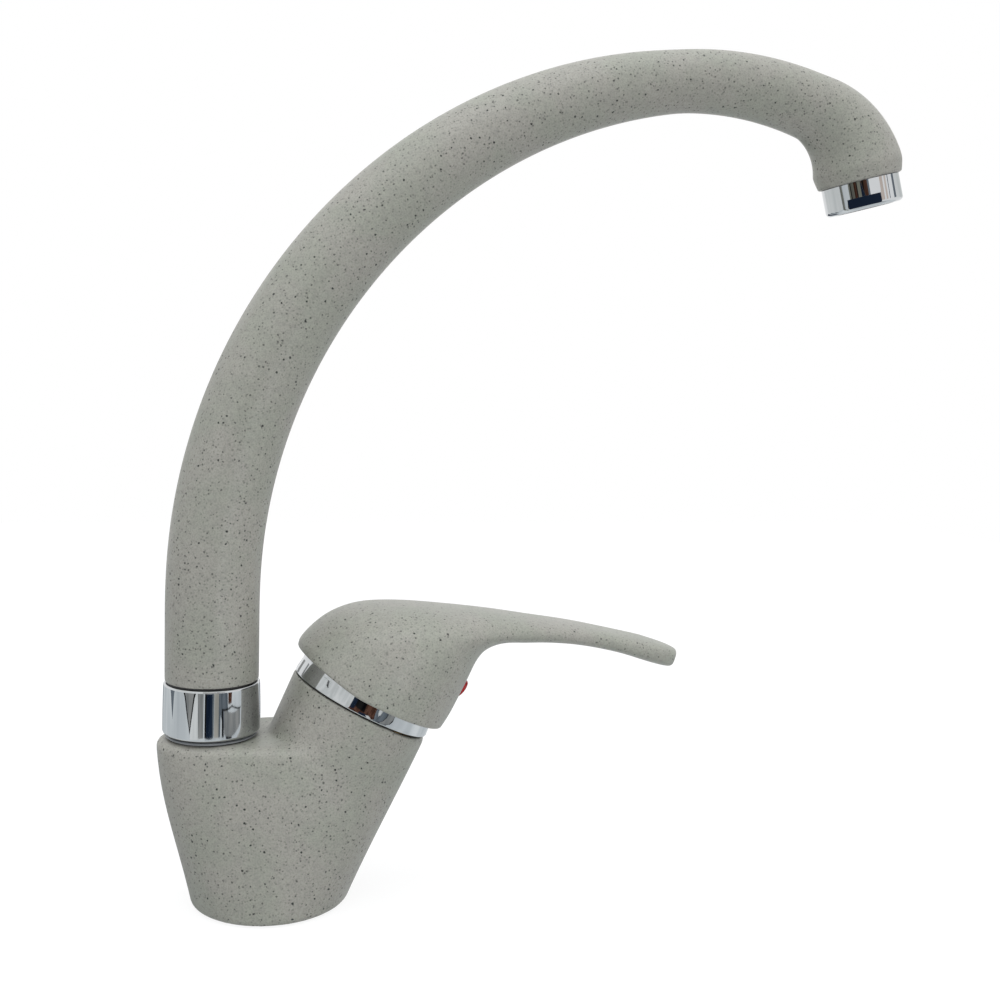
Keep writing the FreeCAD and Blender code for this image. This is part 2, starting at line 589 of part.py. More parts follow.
def make_cartridge():
    """The cartridge from its floor up: base, seals, ceramic discs, carrier, turret and shell."""
    base = join("base_plug", rod("base_plate", "cartridge_radius", "0", "base_flange"),
                rod("base_spigot", f"{SHELL_BORE} - running_gap", "base_flange", "base_height"))
    ports = port_holes("base_port", "port_radius", "-1", "base_height + 1")
    ports += port_holes("base_under_seat", "seal_radius", "-1", "port_seal_height")
    ports += port_holes("base_over_seat", "seal_radius", "base_height - port_seal_height", "base_height + 1")
    node("cartridge_base", on_tower(carve("base_cut", base, *ports), FLOOR))
    make_port_seals("port_seals", "0")
    make_port_seals("disc_seals", "base_height - port_seal_height")

    fixed = rod("fixed_plate", f"{SHELL_BORE} - 2 * running_gap", "base_height", FIXED_TOP)
    holes = port_holes("disc_port", "port_radius", "0", "shell_height")
    node("fixed_disc", on_tower(carve("fixed_cut", fixed, *holes), FLOOR))

    mover = rod("mover_plate", f"{CARRIER_RADIUS} - mover_margin", "0", "disc_height - running_gap",
                f"-{TRAVEL}")
    across = block("mix_bar", "inlet_spread * 0.625", "2.1 * inlet_spread", "-1", "disc_height / 2",
                   f"-{TRAVEL} - port_lead * 1.75")
    along = block("mix_leg", "2.3 * inlet_spread", "inlet_spread", "-1", "disc_height / 2",
                  f"-{TRAVEL} + inlet_spread * 0.25")
    node("moving_disc", on_tower(carve("mover_cut", mover, across, along), f"{FLOOR} + {MOVER_FOOT}"))

    tongue_top = f"{CARRIER_TOP} + tongue_height"
    ball_level = f"{CARRIER_TOP} - ball_sink"
    plate = rod("carrier_plate", CARRIER_RADIUS, MOVER_TOP, CARRIER_TOP)
    tongue = block("carrier_tongue", "tongue_length", "tongue_width", f"{CARRIER_TOP} - 1", tongue_top)
    pocket = rod("carrier_pocket", "ball_radius + pocket_gap", f"{ball_level} - ball_radius - pocket_gap",
                 "shell_height")
    flare = cone("carrier_flare", "ball_radius + pocket_gap", "ball_radius * 1.6", ball_level,
                 f"{tongue_top} + running_gap")
    carrier = carve("carrier_cut", join("carrier_solid", plate, tongue), pocket, flare)
    node("disc_carrier", on_tower(carrier, FLOOR, f"-{TRAVEL}"))

    top = "cartridge_depth + turret_top"
    flange = rod("turret_flange", "flange_radius", FLANGE_FOOT, f"{ROOF} - disc_gap")
    column = rod("turret_column", "neck_turn_radius", f"{FLANGE_FOOT} + tongue_height", top)
    channel = block("turret_channel", "3 * flange_radius", "tongue_width + disc_gap", "0",
                    f"{FLANGE_FOOT} + tongue_height")
    slot = block("turret_slot", "slot_length", "slot_width", "0", f"{top} + 1")
    pin_hole = along_y(rod("turret_pin_hole", "pin_radius", "0", "pin_length"), "cartridge_depth")
    turret = carve("turret_cut", join("turret_solid", flange, column), channel, slot, pin_hole)
    node("cartridge_rotor", on_tower(turret, FLOOR))

    shell = turned("cartridge_shell", [
        (SHELL_BORE, "0"), ("cartridge_radius", "0"),
        ("cartridge_radius", "shell_height - base_flange - cartridge_gap"),
        ("cartridge_radius - cartridge_gap", "shell_height - base_flange"),
        ("neck_turn_radius + running_gap", "shell_height - base_flange"),
        ("neck_turn_radius + running_gap", f"{ROOF} - base_flange"), (SHELL_BORE, f"{ROOF} - base_flange")])
    node("cartridge_housing", on_tower(shell, f"{FLOOR} + base_flange"))


def along_y(piece, height, ahead="0"):
    """Lay the pin, or a hole for it, along Y and centre it across the XZ plane."""
    piece.setExpression("Placement.Rotation.Angle", None)
    piece.Placement = FreeCAD.Placement(Vector(), FreeCAD.Rotation(Vector(1, 0, 0), 90))
    piece.setExpression("Placement.Base.x", linked(ahead))
    piece.setExpression("Placement.Base.y", linked("pin_length / 2"))
    piece.setExpression("Placement.Base.z", linked(height))
    return piece


def on_stem(piece):
    """Place a piece on the stem's axis, which leans forward from the tower's. Heights start at the pin."""
    return set_place(piece, "rim_offset", "0", "rim_height", "tower_tilt + lean_angle")


def make_stem():
    """The square steel stem with its ball end, and the pin that it tilts on."""
    bar = block("stem_bar", "stem_side", "stem_side", "-stem_side / 2", "stem_top")
    arm = rod("stem_arm", "arm_radius", f"-{ARM_LENGTH}", "0")
    end = ball("stem_ball", "ball_radius", f"-{ARM_LENGTH}")
    hole = along_y(rod("stem_pin_hole", "pin_radius + running_gap", "0", "pin_length"), "0")
    node("lever_stem", on_stem(carve("stem_cut", join("stem_solid", bar, arm, end), hole)))
    node("pivot_pin", along_y(rod("pin_bar", "pin_radius", "0", "pin_length"), "rim_height", "rim_offset"))


def make_clamp_nut():
    """The brass ring nut that holds the cartridge down, with two key slots in its boss."""
    top = f"{NUT_DEPTH} + boss_height"
    nut = turned("nut_ring", [
        ("nut_bore", "0"), ("nut_radius - running_gap", "0"),
        ("nut_radius - running_gap", f"{NUT_DEPTH} - 1"), ("boss_radius", f"{NUT_DEPTH} - 1"),
        ("boss_radius", top), ("nut_bore", top)])
    slots = block("key_slots", "3 * boss_radius", "5", f"{top} - 2", f"{top} + 1")
    node("clamp_nut", on_tower(carve("nut_cut", nut, slots), f"-{NUT_DEPTH}"))


def make_trim_ring():
    """The chromed band and dome that cover the nut."""
    top = "band_radius - band_taper"
    steps = []
    for turn in (20, 40, 60, 80):
        across = math.cos(math.radians(turn))
        up = math.sin(math.radians(turn))
        steps.append((f"dome_bore + (band_radius - band_taper - dome_bore) * {across:.4f}",
                      f"band_height + (dome_height - band_height) * {up:.4f}"))
    ring = turned("trim_shell", [
        ("boss_radius + running_gap", "0"), ("band_radius - 0.35", "0"), ("band_radius", "0.35"),
        (top, "band_height"), *steps, ("dome_bore", "dome_height"), ("dome_bore", "dome_height - 1.4"),
        ("boss_radius + running_gap", "boss_height + 1.6")])
    node("trim_ring", on_tower(ring))


# The lever's cross-sections. Each has its outer point (back or top) and its inner point (front or
# underside), both counted from the rim's centre along X and Z, then its half-width and how square
# it is: 2 is an ellipse.
SECTION_POINTS = 28
LEVER_SECTIONS = [
    ((-22.2, 17.0), (27.0, -8.1), 27.5, 2.0),
    ((-20.2, 21.5), (29.5, -3.8), 27.5, 2.0),
    ((-16.1, 26.1), (32.4, 1.8), 27.2, 2.0),
    ((-9.9, 30.4), (35.7, 8.8), 26.3, 2.05),
    ((-0.7, 33.2), (38.3, 14.5), 24.4, 2.1),
    ((12.2, 33.4), (41.6, 18.3), 21.7, 2.15),
    ((27.2, 32.1), (47.3, 20.2), 18.4, 2.2),
    ((43.2, 30.3), (54.8, 20.0), 15.5, 2.3),
    ((58.2, 27.9), (63.2, 19.8), 13.4, 2.4),
    ((73.2, 25.5), (74.4, 18.6), 12.2, 2.6),
    ((88.2, 22.3), (87.4, 15.8), 11.6, 2.7),
    ((99.5, 19.3), (97.3, 12.4), 11.35, 2.8),
]


def lever_section(outer, inner, half_width, square, thinner=0.0, narrower=0.0, ahead=0.0):
    """Points round a section, with its height from the outer to the inner point."""
    rim = Vector(worth("rim_offset"), 0, worth("rim_height"))
    top = rim + Vector(outer[0], 0, outer[1])
    bottom = rim + Vector(inner[0], 0, inner[1])
    half = (top - bottom) * 0.5
    height = Vector(half).normalize()
    centre = (top + bottom) * 0.5 + ASIDE.cross(height) * ahead
    points = []
    for number in range(SECTION_POINTS):
        turn = 2 * math.pi * number / SECTION_POINTS
        across = math.copysign(abs(math.cos(turn)) ** (2 / square), math.cos(turn))
        up = math.copysign(abs(math.sin(turn)) ** (2 / square), math.sin(turn))
        points.append(centre + height * ((half.Length - thinner) * up)
                      + ASIDE * ((half_width - narrower) * across))
    return points


def skin(sections):
    """A solid whose surface runs smoothly through closed sections of equally many points."""
    around = []
    for points in sections:
        curve = Part.BSplineCurve()
        curve.interpolate(Points=points, PeriodicFlag=True, Parameters=list(range(len(points) + 1)))
        around.append(curve)
    middles = [sum(points, Vector()) * (1 / len(points)) for points in sections]
    stations = [0.0]
    for start, end in zip(middles, middles[1:]):
        stations.append(stations[-1] + (end - start).Length)
    along = []
    for column in zip(*[curve.getPoles() for curve in around]):
        curve = Part.BSplineCurve()
        curve.interpolate(Points=list(column), Parameters=stations)
        along.append(curve)
    surface = Part.BSplineSurface()
    surface.buildFromPolesMultsKnots(
        [curve.getPoles() for curve in along], around[0].getMultiplicities(), along[0].getMultiplicities(),
        around[0].getKnots(), along[0].getKnots(), True, False, 3, 3)
    side = surface.toShape()
    rims = [edge for edge in side.Edges if edge.isClosed()]
    shell = Part.makeShell([side] + [Part.Face(Part.Wire([rim])) for rim in rims])
    shell.sewShape()
    return Part.makeSolid(shell)


def make_lever():
    """The cast lever: hood, boss for the stem, screw hole and plug seat."""
    sections = [lever_section(*section) for section in LEVER_SECTIONS]
    for turn in (18, 36, 54, 70, 84):
        around = math.radians(turn)
        shrink = 1 - math.cos(around)
        sections.append(lever_section(
            *LEVER_SECTIONS[-1], worth("tip_rounding") * shrink, worth("tip_narrowing") * shrink,
            worth("tip_length") * math.sin(around)))
    outside = made("lever_outside", skin(sections))

    bore = on_tower(ball("hood_bore", "hood_cavity"))
    boss = on_stem(group("boss_placed", rod("boss", "socket_boss", "boss_start", "2 * stem_top")))
    cavity = carve("hood_cavity_shape", bore, boss)
    relief = group("back_relief", block(
        "relief_block", "2 * hood_radius", "4 * hood_radius", "-hood_radius", "0", "-hood_radius"))
    on_tower(relief, "relief_level", "-relief_start")
    relief.setExpression("Placement.Rotation.Angle", linked("tower_tilt + relief_angle"))
    stem_hole = on_stem(group("stem_hole_placed", block(
        "stem_hole", "stem_side + running_gap", "stem_side + running_gap", "0", "stem_top + running_gap")))
    screw_hole = on_screw(group("screw_hole_placed", rod("screw_hole", "screw_radius", "0", "plug_seat + 1"),
                               rod("plug_hole", "plug_radius + running_gap", "plug_seat", "plug_seat + 8")))
    node("lever_handle", carve("lever_casting", outside, cavity, relief, stem_hole, screw_hole))


def on_screw(piece):
    """Place a piece on the screw's axis, square to the stem. Distances start at the stem's axis."""
    return set_place(piece, "rim_offset + screw_level * sin(tower_tilt + lean_angle)", "0",
                     "rim_height + screw_level * cos(tower_tilt + lean_angle)",
                     "tower_tilt + lean_angle + 90")


def make_screw_and_plug():
    """The grub screw that grips the stem, and the index plug that hides it."""
    foot = "stem_side / 2 + running_gap"
    screw = rod("screw_bar", "screw_radius", foot, f"{foot} + screw_length")
    key = doc.addObject("Part::Prism", "screw_key")
    key.Polygon = 6
    key.setExpression("Circumradius", linked("screw_radius * 0.58"))
    key.setExpression("Height", linked("screw_length"))
    set_place(key, height=f"{foot} + screw_length * 0.65")
    node("grub_screw", on_screw(carve("screw_cut", screw, key)))

    head = rod("plug_head", "plug_radius", "plug_seat", "plug_seat + plug_height - 0.6")
    crown = cone("plug_crown", "plug_radius", "plug_radius - 0.9", "plug_seat + plug_height - 0.6",
                 "plug_seat + plug_height")
    shank = rod("plug_shank", "screw_radius - running_gap", "plug_seat - 4", "plug_seat")
    node("index_plug", on_screw(join("plug_solid", head, crown, shank)))


make_body()
make_base_gasket()
make_neck_ring()
make_spout_collar()
make_slide_washer()
make_spout_stub()
make_swivel_seals()
make_retaining_ring()
make_spout()
make_aerator()
make_cartridge()
make_stem()
make_clamp_nut()
make_trim_ring()
make_lever()
make_screw_and_plug()
doc.recompute()

faults = [thing.Name for thing in doc.Objects if "Invalid" in thing.State or "Error" in thing.State]
faults += [piece.Label for piece in nodes if piece.Shape.isNull() or not piece.Shape.isValid()]
if faults:
    raise SystemExit("not built: " + ", ".join(faults))
os.makedirs("parts", exist_ok=True)
for piece in nodes:
    piece.Shape.exportStep(f"parts/{piece.Label}.step")
    box = piece.Shape.BoundBox
    print(f"{piece.Label:18s} {len(piece.Shape.Solids)} solid {piece.Shape.Volume / 1000:8.2f} cm3 "
          f"X {box.XMin:7.2f} {box.XMax:7.2f}  Y {box.YMin:7.2f} {box.YMax:7.2f}  "
          f"Z {box.ZMin:7.2f} {box.ZMax:7.2f}")
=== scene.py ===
from math import cos, pi, radians, sin

import bpy
from mathutils import Euler, Matrix, Vector


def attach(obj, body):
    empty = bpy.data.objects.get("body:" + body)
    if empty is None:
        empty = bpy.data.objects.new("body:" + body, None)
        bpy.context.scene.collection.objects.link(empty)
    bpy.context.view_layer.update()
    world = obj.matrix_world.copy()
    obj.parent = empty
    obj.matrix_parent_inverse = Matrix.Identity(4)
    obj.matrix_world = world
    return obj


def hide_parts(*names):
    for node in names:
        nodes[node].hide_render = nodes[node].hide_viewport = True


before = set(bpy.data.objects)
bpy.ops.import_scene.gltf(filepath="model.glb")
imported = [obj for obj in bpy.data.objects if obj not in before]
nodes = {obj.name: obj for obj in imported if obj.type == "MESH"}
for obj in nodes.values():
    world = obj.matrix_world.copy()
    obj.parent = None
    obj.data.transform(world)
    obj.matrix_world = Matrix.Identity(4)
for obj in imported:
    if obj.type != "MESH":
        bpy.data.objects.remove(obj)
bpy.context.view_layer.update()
scene = bpy.context.scene
scene.view_settings.view_transform = "Standard"


# Camera. It stands where the photograph was taken from: a little to the left of the faucet and
# above the lever, turned slightly to the right and rolled by under two degrees.
eye = Vector((-0.02765, -0.38322, 0.16604))
tilt_down, turn_right, roll = radians(5.07), radians(14.97), radians(1.62)
bpy.ops.object.select_all(action="DESELECT")
bpy.ops.object.camera_add(location=eye)
camera = bpy.context.object
camera.name = "studio_camera"
camera.data.sensor_width = 36.0
camera.data.lens = 42.59
camera.data.clip_start = 0.01
look = Euler((radians(90) - tilt_down, 0, -turn_right)).to_matrix()
camera.rotation_euler = (look @ Matrix.Rotation(roll, 3, "Z")).to_euler()
scene.camera = camera


# Studio floor. A pale sheet of card that looks white to the camera and keeps the faucet's shadow.
# It gives back little light of its own, and mirrors look through it.
def looked_at(tree):
    """1 where the camera, a mirror or glass looks, and 0 where only light arrives."""
    ray = tree.nodes.new("ShaderNodeLightPath")
    looked = ray.outputs["Is Camera Ray"]
    for also in ("Is Transmission Ray", "Is Glossy Ray"):
        either = tree.nodes.new("ShaderNodeMath")
        either.operation = "MAXIMUM"
        tree.links.new(looked, either.inputs[0])
        tree.links.new(ray.outputs[also], either.inputs[1])
        looked = either.outputs[0]
    return looked


floor_size, floor_level = 1.8, -0.0005
card_tone, card_whiteness, card_white_share = 0.42, 1.35, 0.66
bpy.ops.object.select_all(action="DESELECT")
bpy.ops.mesh.primitive_plane_add(size=floor_size, location=(0.05, 0.2, floor_level))
floor = bpy.context.object
floor.name = "studio_floor"
bpy.ops.object.transform_apply(location=True)
floor.visible_glossy = False
card = bpy.data.materials.new("pale_card")
card.use_nodes = True
card_nodes = card.node_tree.nodes
card_links = card.node_tree.links
card_paint = card_nodes["Principled BSDF"]
card_paint.inputs["Base Color"].default_value = (card_tone, card_tone, card_tone, 1)
card_paint.inputs["Roughness"].default_value = 0.9
card_paint.inputs["Specular IOR Level"].default_value = 0.1
card_white = card_nodes.new("ShaderNodeEmission")
card_white.inputs["Color"].default_value = (1, 1, 1, 1)
card_white.inputs["Strength"].default_value = card_whiteness
card_mix = card_nodes.new("ShaderNodeMixShader")
card_share = card_nodes.new("ShaderNodeMath")
card_share.operation = "MULTIPLY"
card_share.inputs[1].default_value = card_white_share
card_links.new(looked_at(card.node_tree), card_share.inputs[0])
card_links.new(card_share.outputs[0], card_mix.inputs["Fac"])
card_links.new(card_paint.outputs["BSDF"], card_mix.inputs[1])
card_links.new(card_white.outputs["Emission"], card_mix.inputs[2])
card_links.new(card_mix.outputs["Shader"], card_nodes["Material Output"].inputs["Surface"])
floor.data.materials.append(card)


# Studio light. A white room, one wide soft lamp overhead and a weak low one beside the camera.
# The room is white to the camera and in reflections, and a little less bright as light.
room_light = 0.77
lamp_colour = (0.93, 0.965, 1.0)
room = bpy.data.worlds.new("white_room")
scene.world = room
room.use_nodes = True
room_nodes = room.node_tree.nodes
room_links = room.node_tree.links
room_glow = room_nodes["Background"]
room_glow.inputs["Color"].default_value = (0.96, 0.98, 1.0, 1)
room_glow.inputs["Strength"].default_value = room_light
room_seen = room_nodes.new("ShaderNodeBackground")
room_seen.inputs["Color"].default_value = (1, 1, 1, 1)
room_seen.inputs["Strength"].default_value = 1.0
room_mix = room_nodes.new("ShaderNodeMixShader")
room_links.new(looked_at(room.node_tree), room_mix.inputs["Fac"])
room_links.new(room_glow.outputs["Background"], room_mix.inputs[1])
room_links.new(room_seen.outputs["Background"], room_mix.inputs[2])
room_links.new(room_mix.outputs["Shader"], room_nodes["World Output"].inputs["Surface"])

for lamp_name, place, aim, size, power in (
        ("overhead_lamp", (0.05, -0.2, 1.5), (0.06, 0, 0.12), 1.4, 16.0),
        ("front_lamp", (0.13, -0.42, 0.05), (0.03, 0, 0.02), 0.09, 0.36)):
    bpy.ops.object.select_all(action="DESELECT")
    bpy.ops.object.light_add(type="AREA", location=place)
    lamp = bpy.context.object
    lamp.name = lamp_name
    lamp.data.shape = "SQUARE"
    lamp.data.size = size
    lamp.data.energy = power
    lamp.data.color = lamp_colour
    lamp.visible_glossy = False
    lamp.visible_camera = False
    lamp.rotation_euler = (Vector(aim) - Vector(place)).to_track_quat("-Z", "Y").to_euler()


# Reflector cards. Glowing boards round the set, seen only in the chrome: they paint into it the
# reflections of bars, wedges and soft tones that polished metal shows in a white room, each board set
# for one spot on the chrome. A pale cloudy glowing sheet stands round the set as a skirting and lies
# below it, a painted pale reflection.
def painted_reflection(name, dark, light, scale):
    """A glowing sheet of two tones that drift into each other: a painted reflection for the chrome."""
    material = bpy.data.materials.new(f"{name}_cloth")
    material.use_nodes = True
    tree = material.node_tree
    tree.nodes.remove(tree.nodes["Principled BSDF"])
    place = tree.nodes.new("ShaderNodeTexCoord")
    drift = tree.nodes.new("ShaderNodeTexNoise")
    drift.inputs["Scale"].default_value = scale
    drift.inputs["Detail"].default_value = 2
    tone = tree.nodes.new("ShaderNodeValToRGB")
    tone.color_ramp.elements[0].position = 0.36
    tone.color_ramp.elements[1].position = 0.64
    tone.color_ramp.elements[0].color = (*dark, 1)
    tone.color_ramp.elements[1].color = (*light, 1)
    glow = tree.nodes.new("ShaderNodeEmission")
    tree.links.new(place.outputs["Object"], drift.inputs["Vector"])
    tree.links.new(drift.outputs["Fac"], tone.inputs["Fac"])
    tree.links.new(tone.outputs["Color"], glow.inputs["Color"])
    tree.links.new(glow.outputs["Emission"], tree.nodes["Material Output"].inputs["Surface"])
    return material


def hang(board, material):
    """Hang a board where only mirrors see it."""
    board.visible_camera = False
    board.visible_diffuse = False
    board.visible_shadow = False
    board.visible_transmission = False
    board.data.materials.append(material)


navy = painted_reflection("navy", (0.010, 0.018, 0.036), (0.022, 0.036, 0.062), 9)
soot = painted_reflection("soot", (0.004, 0.004, 0.005), (0.016, 0.016, 0.016), 9)
slate = painted_reflection("slate", (0.11, 0.13, 0.15), (0.21, 0.24, 0.27), 9)
ash = painted_reflection("ash", (0.26, 0.27, 0.27), (0.38, 0.38, 0.37), 9)
sand = painted_reflection("sand", (0.40, 0.39, 0.35), (0.52, 0.50, 0.45), 9)
umber = painted_reflection("umber", (0.050, 0.022, 0.014), (0.16, 0.080, 0.055), 20)
moss = painted_reflection("moss", (0.13, 0.13, 0.11), (0.22, 0.22, 0.18), 14)
rose = painted_reflection("rose", (0.62, 0.52, 0.46), (0.80, 0.70, 0.63), 14)
pearl = painted_reflection("pearl", (0.72, 0.74, 0.73), (0.92, 0.93, 0.92), 6)
collar_spot = Vector((-0.019, 0, 0.065))
band_spot = Vector((0.03, 0, 0.065))
mouth_spot = Vector((0.205, 0, 0.238))

# Each board has its painted-reflection glow, the spot that mirrors it, its distance from there in
# metres, and its corners: a bearing from +X and a rise above level, in degrees.
for number, (material, spot, reach, corners) in enumerate((
        (slate, collar_spot, 0.84, ((151, -8), (174, -8), (166, -14.8))),
        (soot, collar_spot, 0.86, ((-162, -8), (-127, -7.5), (-143.3, -16.6))),
        (ash, collar_spot, 0.81, ((-159.5, -7), (-129.5, -6.5), (-143.6, -15.8))),
        (pearl, collar_spot, 0.90, ((-128, -7), (-120, -7), (-120, -17.5), (-144, -17.5))),
        (ash, collar_spot, 0.85, ((-124, -8), (-110, -8), (-111, -17), (-123, -17))),
        (navy, collar_spot, 0.84, ((-107, -8), (-87, -8), (-88.5, -17), (-108, -17))),
        (soot, collar_spot, 0.83, ((-107, -8), (-103, -8), (-104.5, -17), (-108, -17))),
        (slate, collar_spot, 0.83, ((-89.5, -8), (-86, -8), (-87.5, -17), (-90.5, -17))),
        (sand, collar_spot, 0.84, ((-85.6, -8), (-75, -8), (-76, -17), (-86.1, -17))),
        (slate, collar_spot, 0.84, ((-75, -8), (-70.5, -8), (-72.3, -17), (-76, -17))),
        (soot, collar_spot, 0.80, ((-68.5, -12.1), (-65.5, -12), (-63.5, -17), (-68, -17))),
        (umber, collar_spot, 0.84, ((-53, -8), (-43.5, -8), (-45, -11.3), (-53, -11.4))),
        (ash, collar_spot, 0.84, ((-63.4, -12.1), (-22.8, -12.4), (-22.4, -15.2), (-62.9, -16.6))),
        (soot, collar_spot, 0.80, ((-68.5, -12), (-44, -11.65), (-19.9, -12.4), (-22.8, -12.7),
                                   (-44, -12), (-68, -12.4))),
        (pearl, band_spot, 1.35, ((166, 34), (-160, 36), (-110, 19), (-110, 7), (-160, 19), (166, 19))),
        (ash, band_spot, 0.94, ((107, 2.5), (116, 8.5), (120.5, 7.3), (111, 1.6))),
        (ash, band_spot, 0.94, ((130, 17), (134, 19), (138, 15), (133.5, 13))),
        (soot, band_spot, 0.90, ((-176, 29.1), (-175, 29.3), (-157, 26.8), (-158, 26.6))),
        (umber, band_spot, 1.04, ((-110, 18), (-77, 2), (-74.6, -10), (-117, 5))),
        (navy, band_spot, 0.92, ((-112, 15), (-104.6, 12), (-106.6, 9.1), (-112.6, 10.2))),
        (soot, band_spot, 0.92, ((-106.1, 15), (-91, 7), (-91.3, 1.9), (-105.6, 10))),
        (umber, band_spot, 0.91, ((-116.3, 10.6), (-107.2, 8), (-99.5, 3.4), (-105, 2.6), (-114, 6))),
        (navy, band_spot, 0.92, ((-99.8, 4.4), (-89.4, 0.3), (-86.4, -5), (-99.5, 0))),
        (soot, band_spot, 0.90, ((-99.8, 1.6), (-95, 0), (-94, -3), (-100, -1))),
        (umber, band_spot, 0.91, ((-88.7, 3.2), (-77.6, -2.3), (-75.5, -7), (-83.4, -3.9))),
        (pearl, band_spot, 0.89, ((-89.8, -1.2), (-84.8, -2.6), (-80.9, -7.3), (-86.2, -5.6))),
        (pearl, band_spot, 0.91, ((-77, -1), (-66, -6.5), (-66, -8.6), (-71, -7.6))),
        (slate, band_spot, 0.93, ((-76.5, -2.5), (-57, -9), (-56, -19), (-75.5, -13))),
        (soot, band_spot, 0.90, ((-62.1, -13.4), (-46, -16.4), (-47, -18.5), (-60.1, -17.8))),
        (pearl, mouth_spot, 0.31, ((105, 6), (140, 0), (174, -7), (174, -21), (140, -20), (105, -12))),
        (moss, mouth_spot, 0.31, ((-157, -4), (-128, 2), (-99, 9), (-99, -8), (-128, -16), (-157, -19))),
        (soot, mouth_spot, 0.25, ((-152, -5), (-149, -5), (-149, -18), (-152, -18))),
        (umber, mouth_spot, 0.25, ((-141, -4), (-134, -3), (-134, -14), (-141, -15))),
        (soot, mouth_spot, 0.25, ((-134, -3), (-131, -3), (-131, -13), (-134, -14))),
        (umber, mouth_spot, 0.25, ((-125, -1), (-103, 5), (-103, -4.5), (-125, -4.5))),
        (soot, mouth_spot, 0.245, ((-118, 2), (-113, 4), (-113, -4.5), (-118, -4.5))),
        (slate, mouth_spot, 0.25, ((-103, 6), (-98, 7), (-98, -4), (-103, -4))),
        (navy, mouth_spot, 0.24, ((-122, -4.6), (-111, -4.6), (-111, -9.5), (-122, -9.5))),
        (rose, mouth_spot, 0.25, ((-66, 16), (-57, 18), (-59, 3), (-68, 2))),
        (rose, mouth_spot, 0.25, ((-51, 19), (-45, 20), (-48, 6), (-54, 5))),
        (slate, mouth_spot, 0.25, ((-39, 21), (-36.5, 21), (-40, 8), (-42, 8))),
        (slate, mouth_spot, 0.25, ((-21, 24), (-11, 24), (-14, 9), (-24, 9))),
        (pearl, mouth_spot, 0.31, ((-10, 30), (40, 26), (40, 2), (-10, 4))),
        (navy, band_spot, 1.0, ((70, 0), (92, 0), (92, -40), (70, -40))),
        (slate, band_spot, 1.0, ((100, -8), (112, -8), (112, -40), (100, -40))),
        (soot, band_spot, 1.0, ((124, -22), (133, -22), (133, -45), (124, -45))))):
    bpy.ops.object.select_all(action="DESELECT")
    bpy.ops.mesh.primitive_circle_add(vertices=len(corners), fill_type="NGON", location=(0, 0, 0))
    board = bpy.context.object
    board.name = f"reflector_{number}"
    for corner, (bearing, rise) in zip(board.data.vertices, corners):
        level = reach * cos(radians(rise))
        corner.co = spot + Vector((level * cos(radians(bearing)), level * sin(radians(bearing)),
                                   reach * sin(radians(rise))))
    hang(board, material)

# The skirting and ground sheet glow and are seen only in the chrome: a painted pale reflection.
skirting_radius, skirting_top, skirting_foot = 1.05, -0.04, -0.59
bpy.ops.object.select_all(action="DESELECT")
bpy.ops.mesh.primitive_cylinder_add(vertices=64, radius=skirting_radius, depth=skirting_top - skirting_foot,
                                    end_fill_type="NOTHING",
                                    location=(collar_spot.x, 0, (skirting_top + skirting_foot) / 2))
skirting = bpy.context.object
skirting.name = "cloudy_skirting"
bpy.ops.object.transform_apply(location=True)
cloudy = painted_reflection("cloudy", (0.62, 0.66, 0.68), (0.92, 0.95, 0.96), 1.6)
hang(skirting, cloudy)
bpy.ops.object.select_all(action="DESELECT")
bpy.ops.mesh.primitive_circle_add(vertices=64, radius=skirting_radius, fill_type="NGON",
                                  location=(collar_spot.x, 0, skirting_foot))
ground_sheet = bpy.context.object
ground_sheet.name = "cloudy_ground_sheet"
bpy.ops.object.transform_apply(location=True)
hang(ground_sheet, cloudy)


# Body casting. One brass casting with a round foot, an egg-shaped flank, a flat seat for the spout
# and a leaning tower for the cartridge. It is sand-blasted and sprayed with a granite-look paint:
# warm grey with fine dark grains, a few black specks, faint pink and green drift and a soft sheen.
granite = bpy.data.materials.new("granite_spray_paint")
granite.use_nodes = True
granite_nodes = granite.node_tree.nodes
granite_links = granite.node_tree.links
granite_paint = granite_nodes["Principled BSDF"]
granite_paint.inputs["Roughness"].default_value = 0.4
granite_paint.inputs["Specular IOR Level"].default_value = 0.55
granite_place = granite_nodes.new("ShaderNodeTexCoord")


def granite_noise(scale, detail):
    """Soft random tones over the piece."""
    texture = granite_nodes.new("ShaderNodeTexNoise")
    texture.inputs["Scale"].default_value = scale
    texture.inputs["Detail"].default_value = detail
    granite_links.new(granite_place.outputs["Object"], texture.inputs["Vector"])
    return texture.outputs["Fac"]


def granite_blend(share, below, above):
    """Mix two paint colours by a share."""
    blend = granite_nodes.new("ShaderNodeMix")
    blend.data_type = "RGBA"
    granite_links.new(share, blend.inputs["Factor"])
    for socket, colour in ((blend.inputs["A"], below), (blend.inputs["B"], above)):
        if isinstance(colour, tuple):
            socket.default_value = colour
        else:
            granite_links.new(colour, socket)
    return blend.outputs["Result"]


def granite_range(value, low, high, start, end):
    """Stretch a tone from one range to another, with soft ends."""
    ramp = granite_nodes.new("ShaderNodeMapRange")
    ramp.interpolation_type = "SMOOTHSTEP"
    for socket, number in (("From Min", low), ("From Max", high), ("To Min", start), ("To Max", end)):
        ramp.inputs[socket].default_value = number
    granite_links.new(value, ramp.inputs["Value"])
    return ramp.outputs["Result"]


granite_wobble = granite_nodes.new("ShaderNodeTexNoise")
granite_wobble.inputs["Scale"].default_value = 1500
granite_links.new(granite_place.outputs["Object"], granite_wobble.inputs["Vector"])
granite_ragged = granite_nodes.new("ShaderNodeVectorMath")
granite_ragged.operation = "MULTIPLY_ADD"
granite_ragged.inputs[1].default_value = (0.0006, 0.0006, 0.0006)
granite_links.new(granite_wobble.outputs["Color"], granite_ragged.inputs[0])
granite_links.new(granite_place.outputs["Object"], granite_ragged.inputs[2])


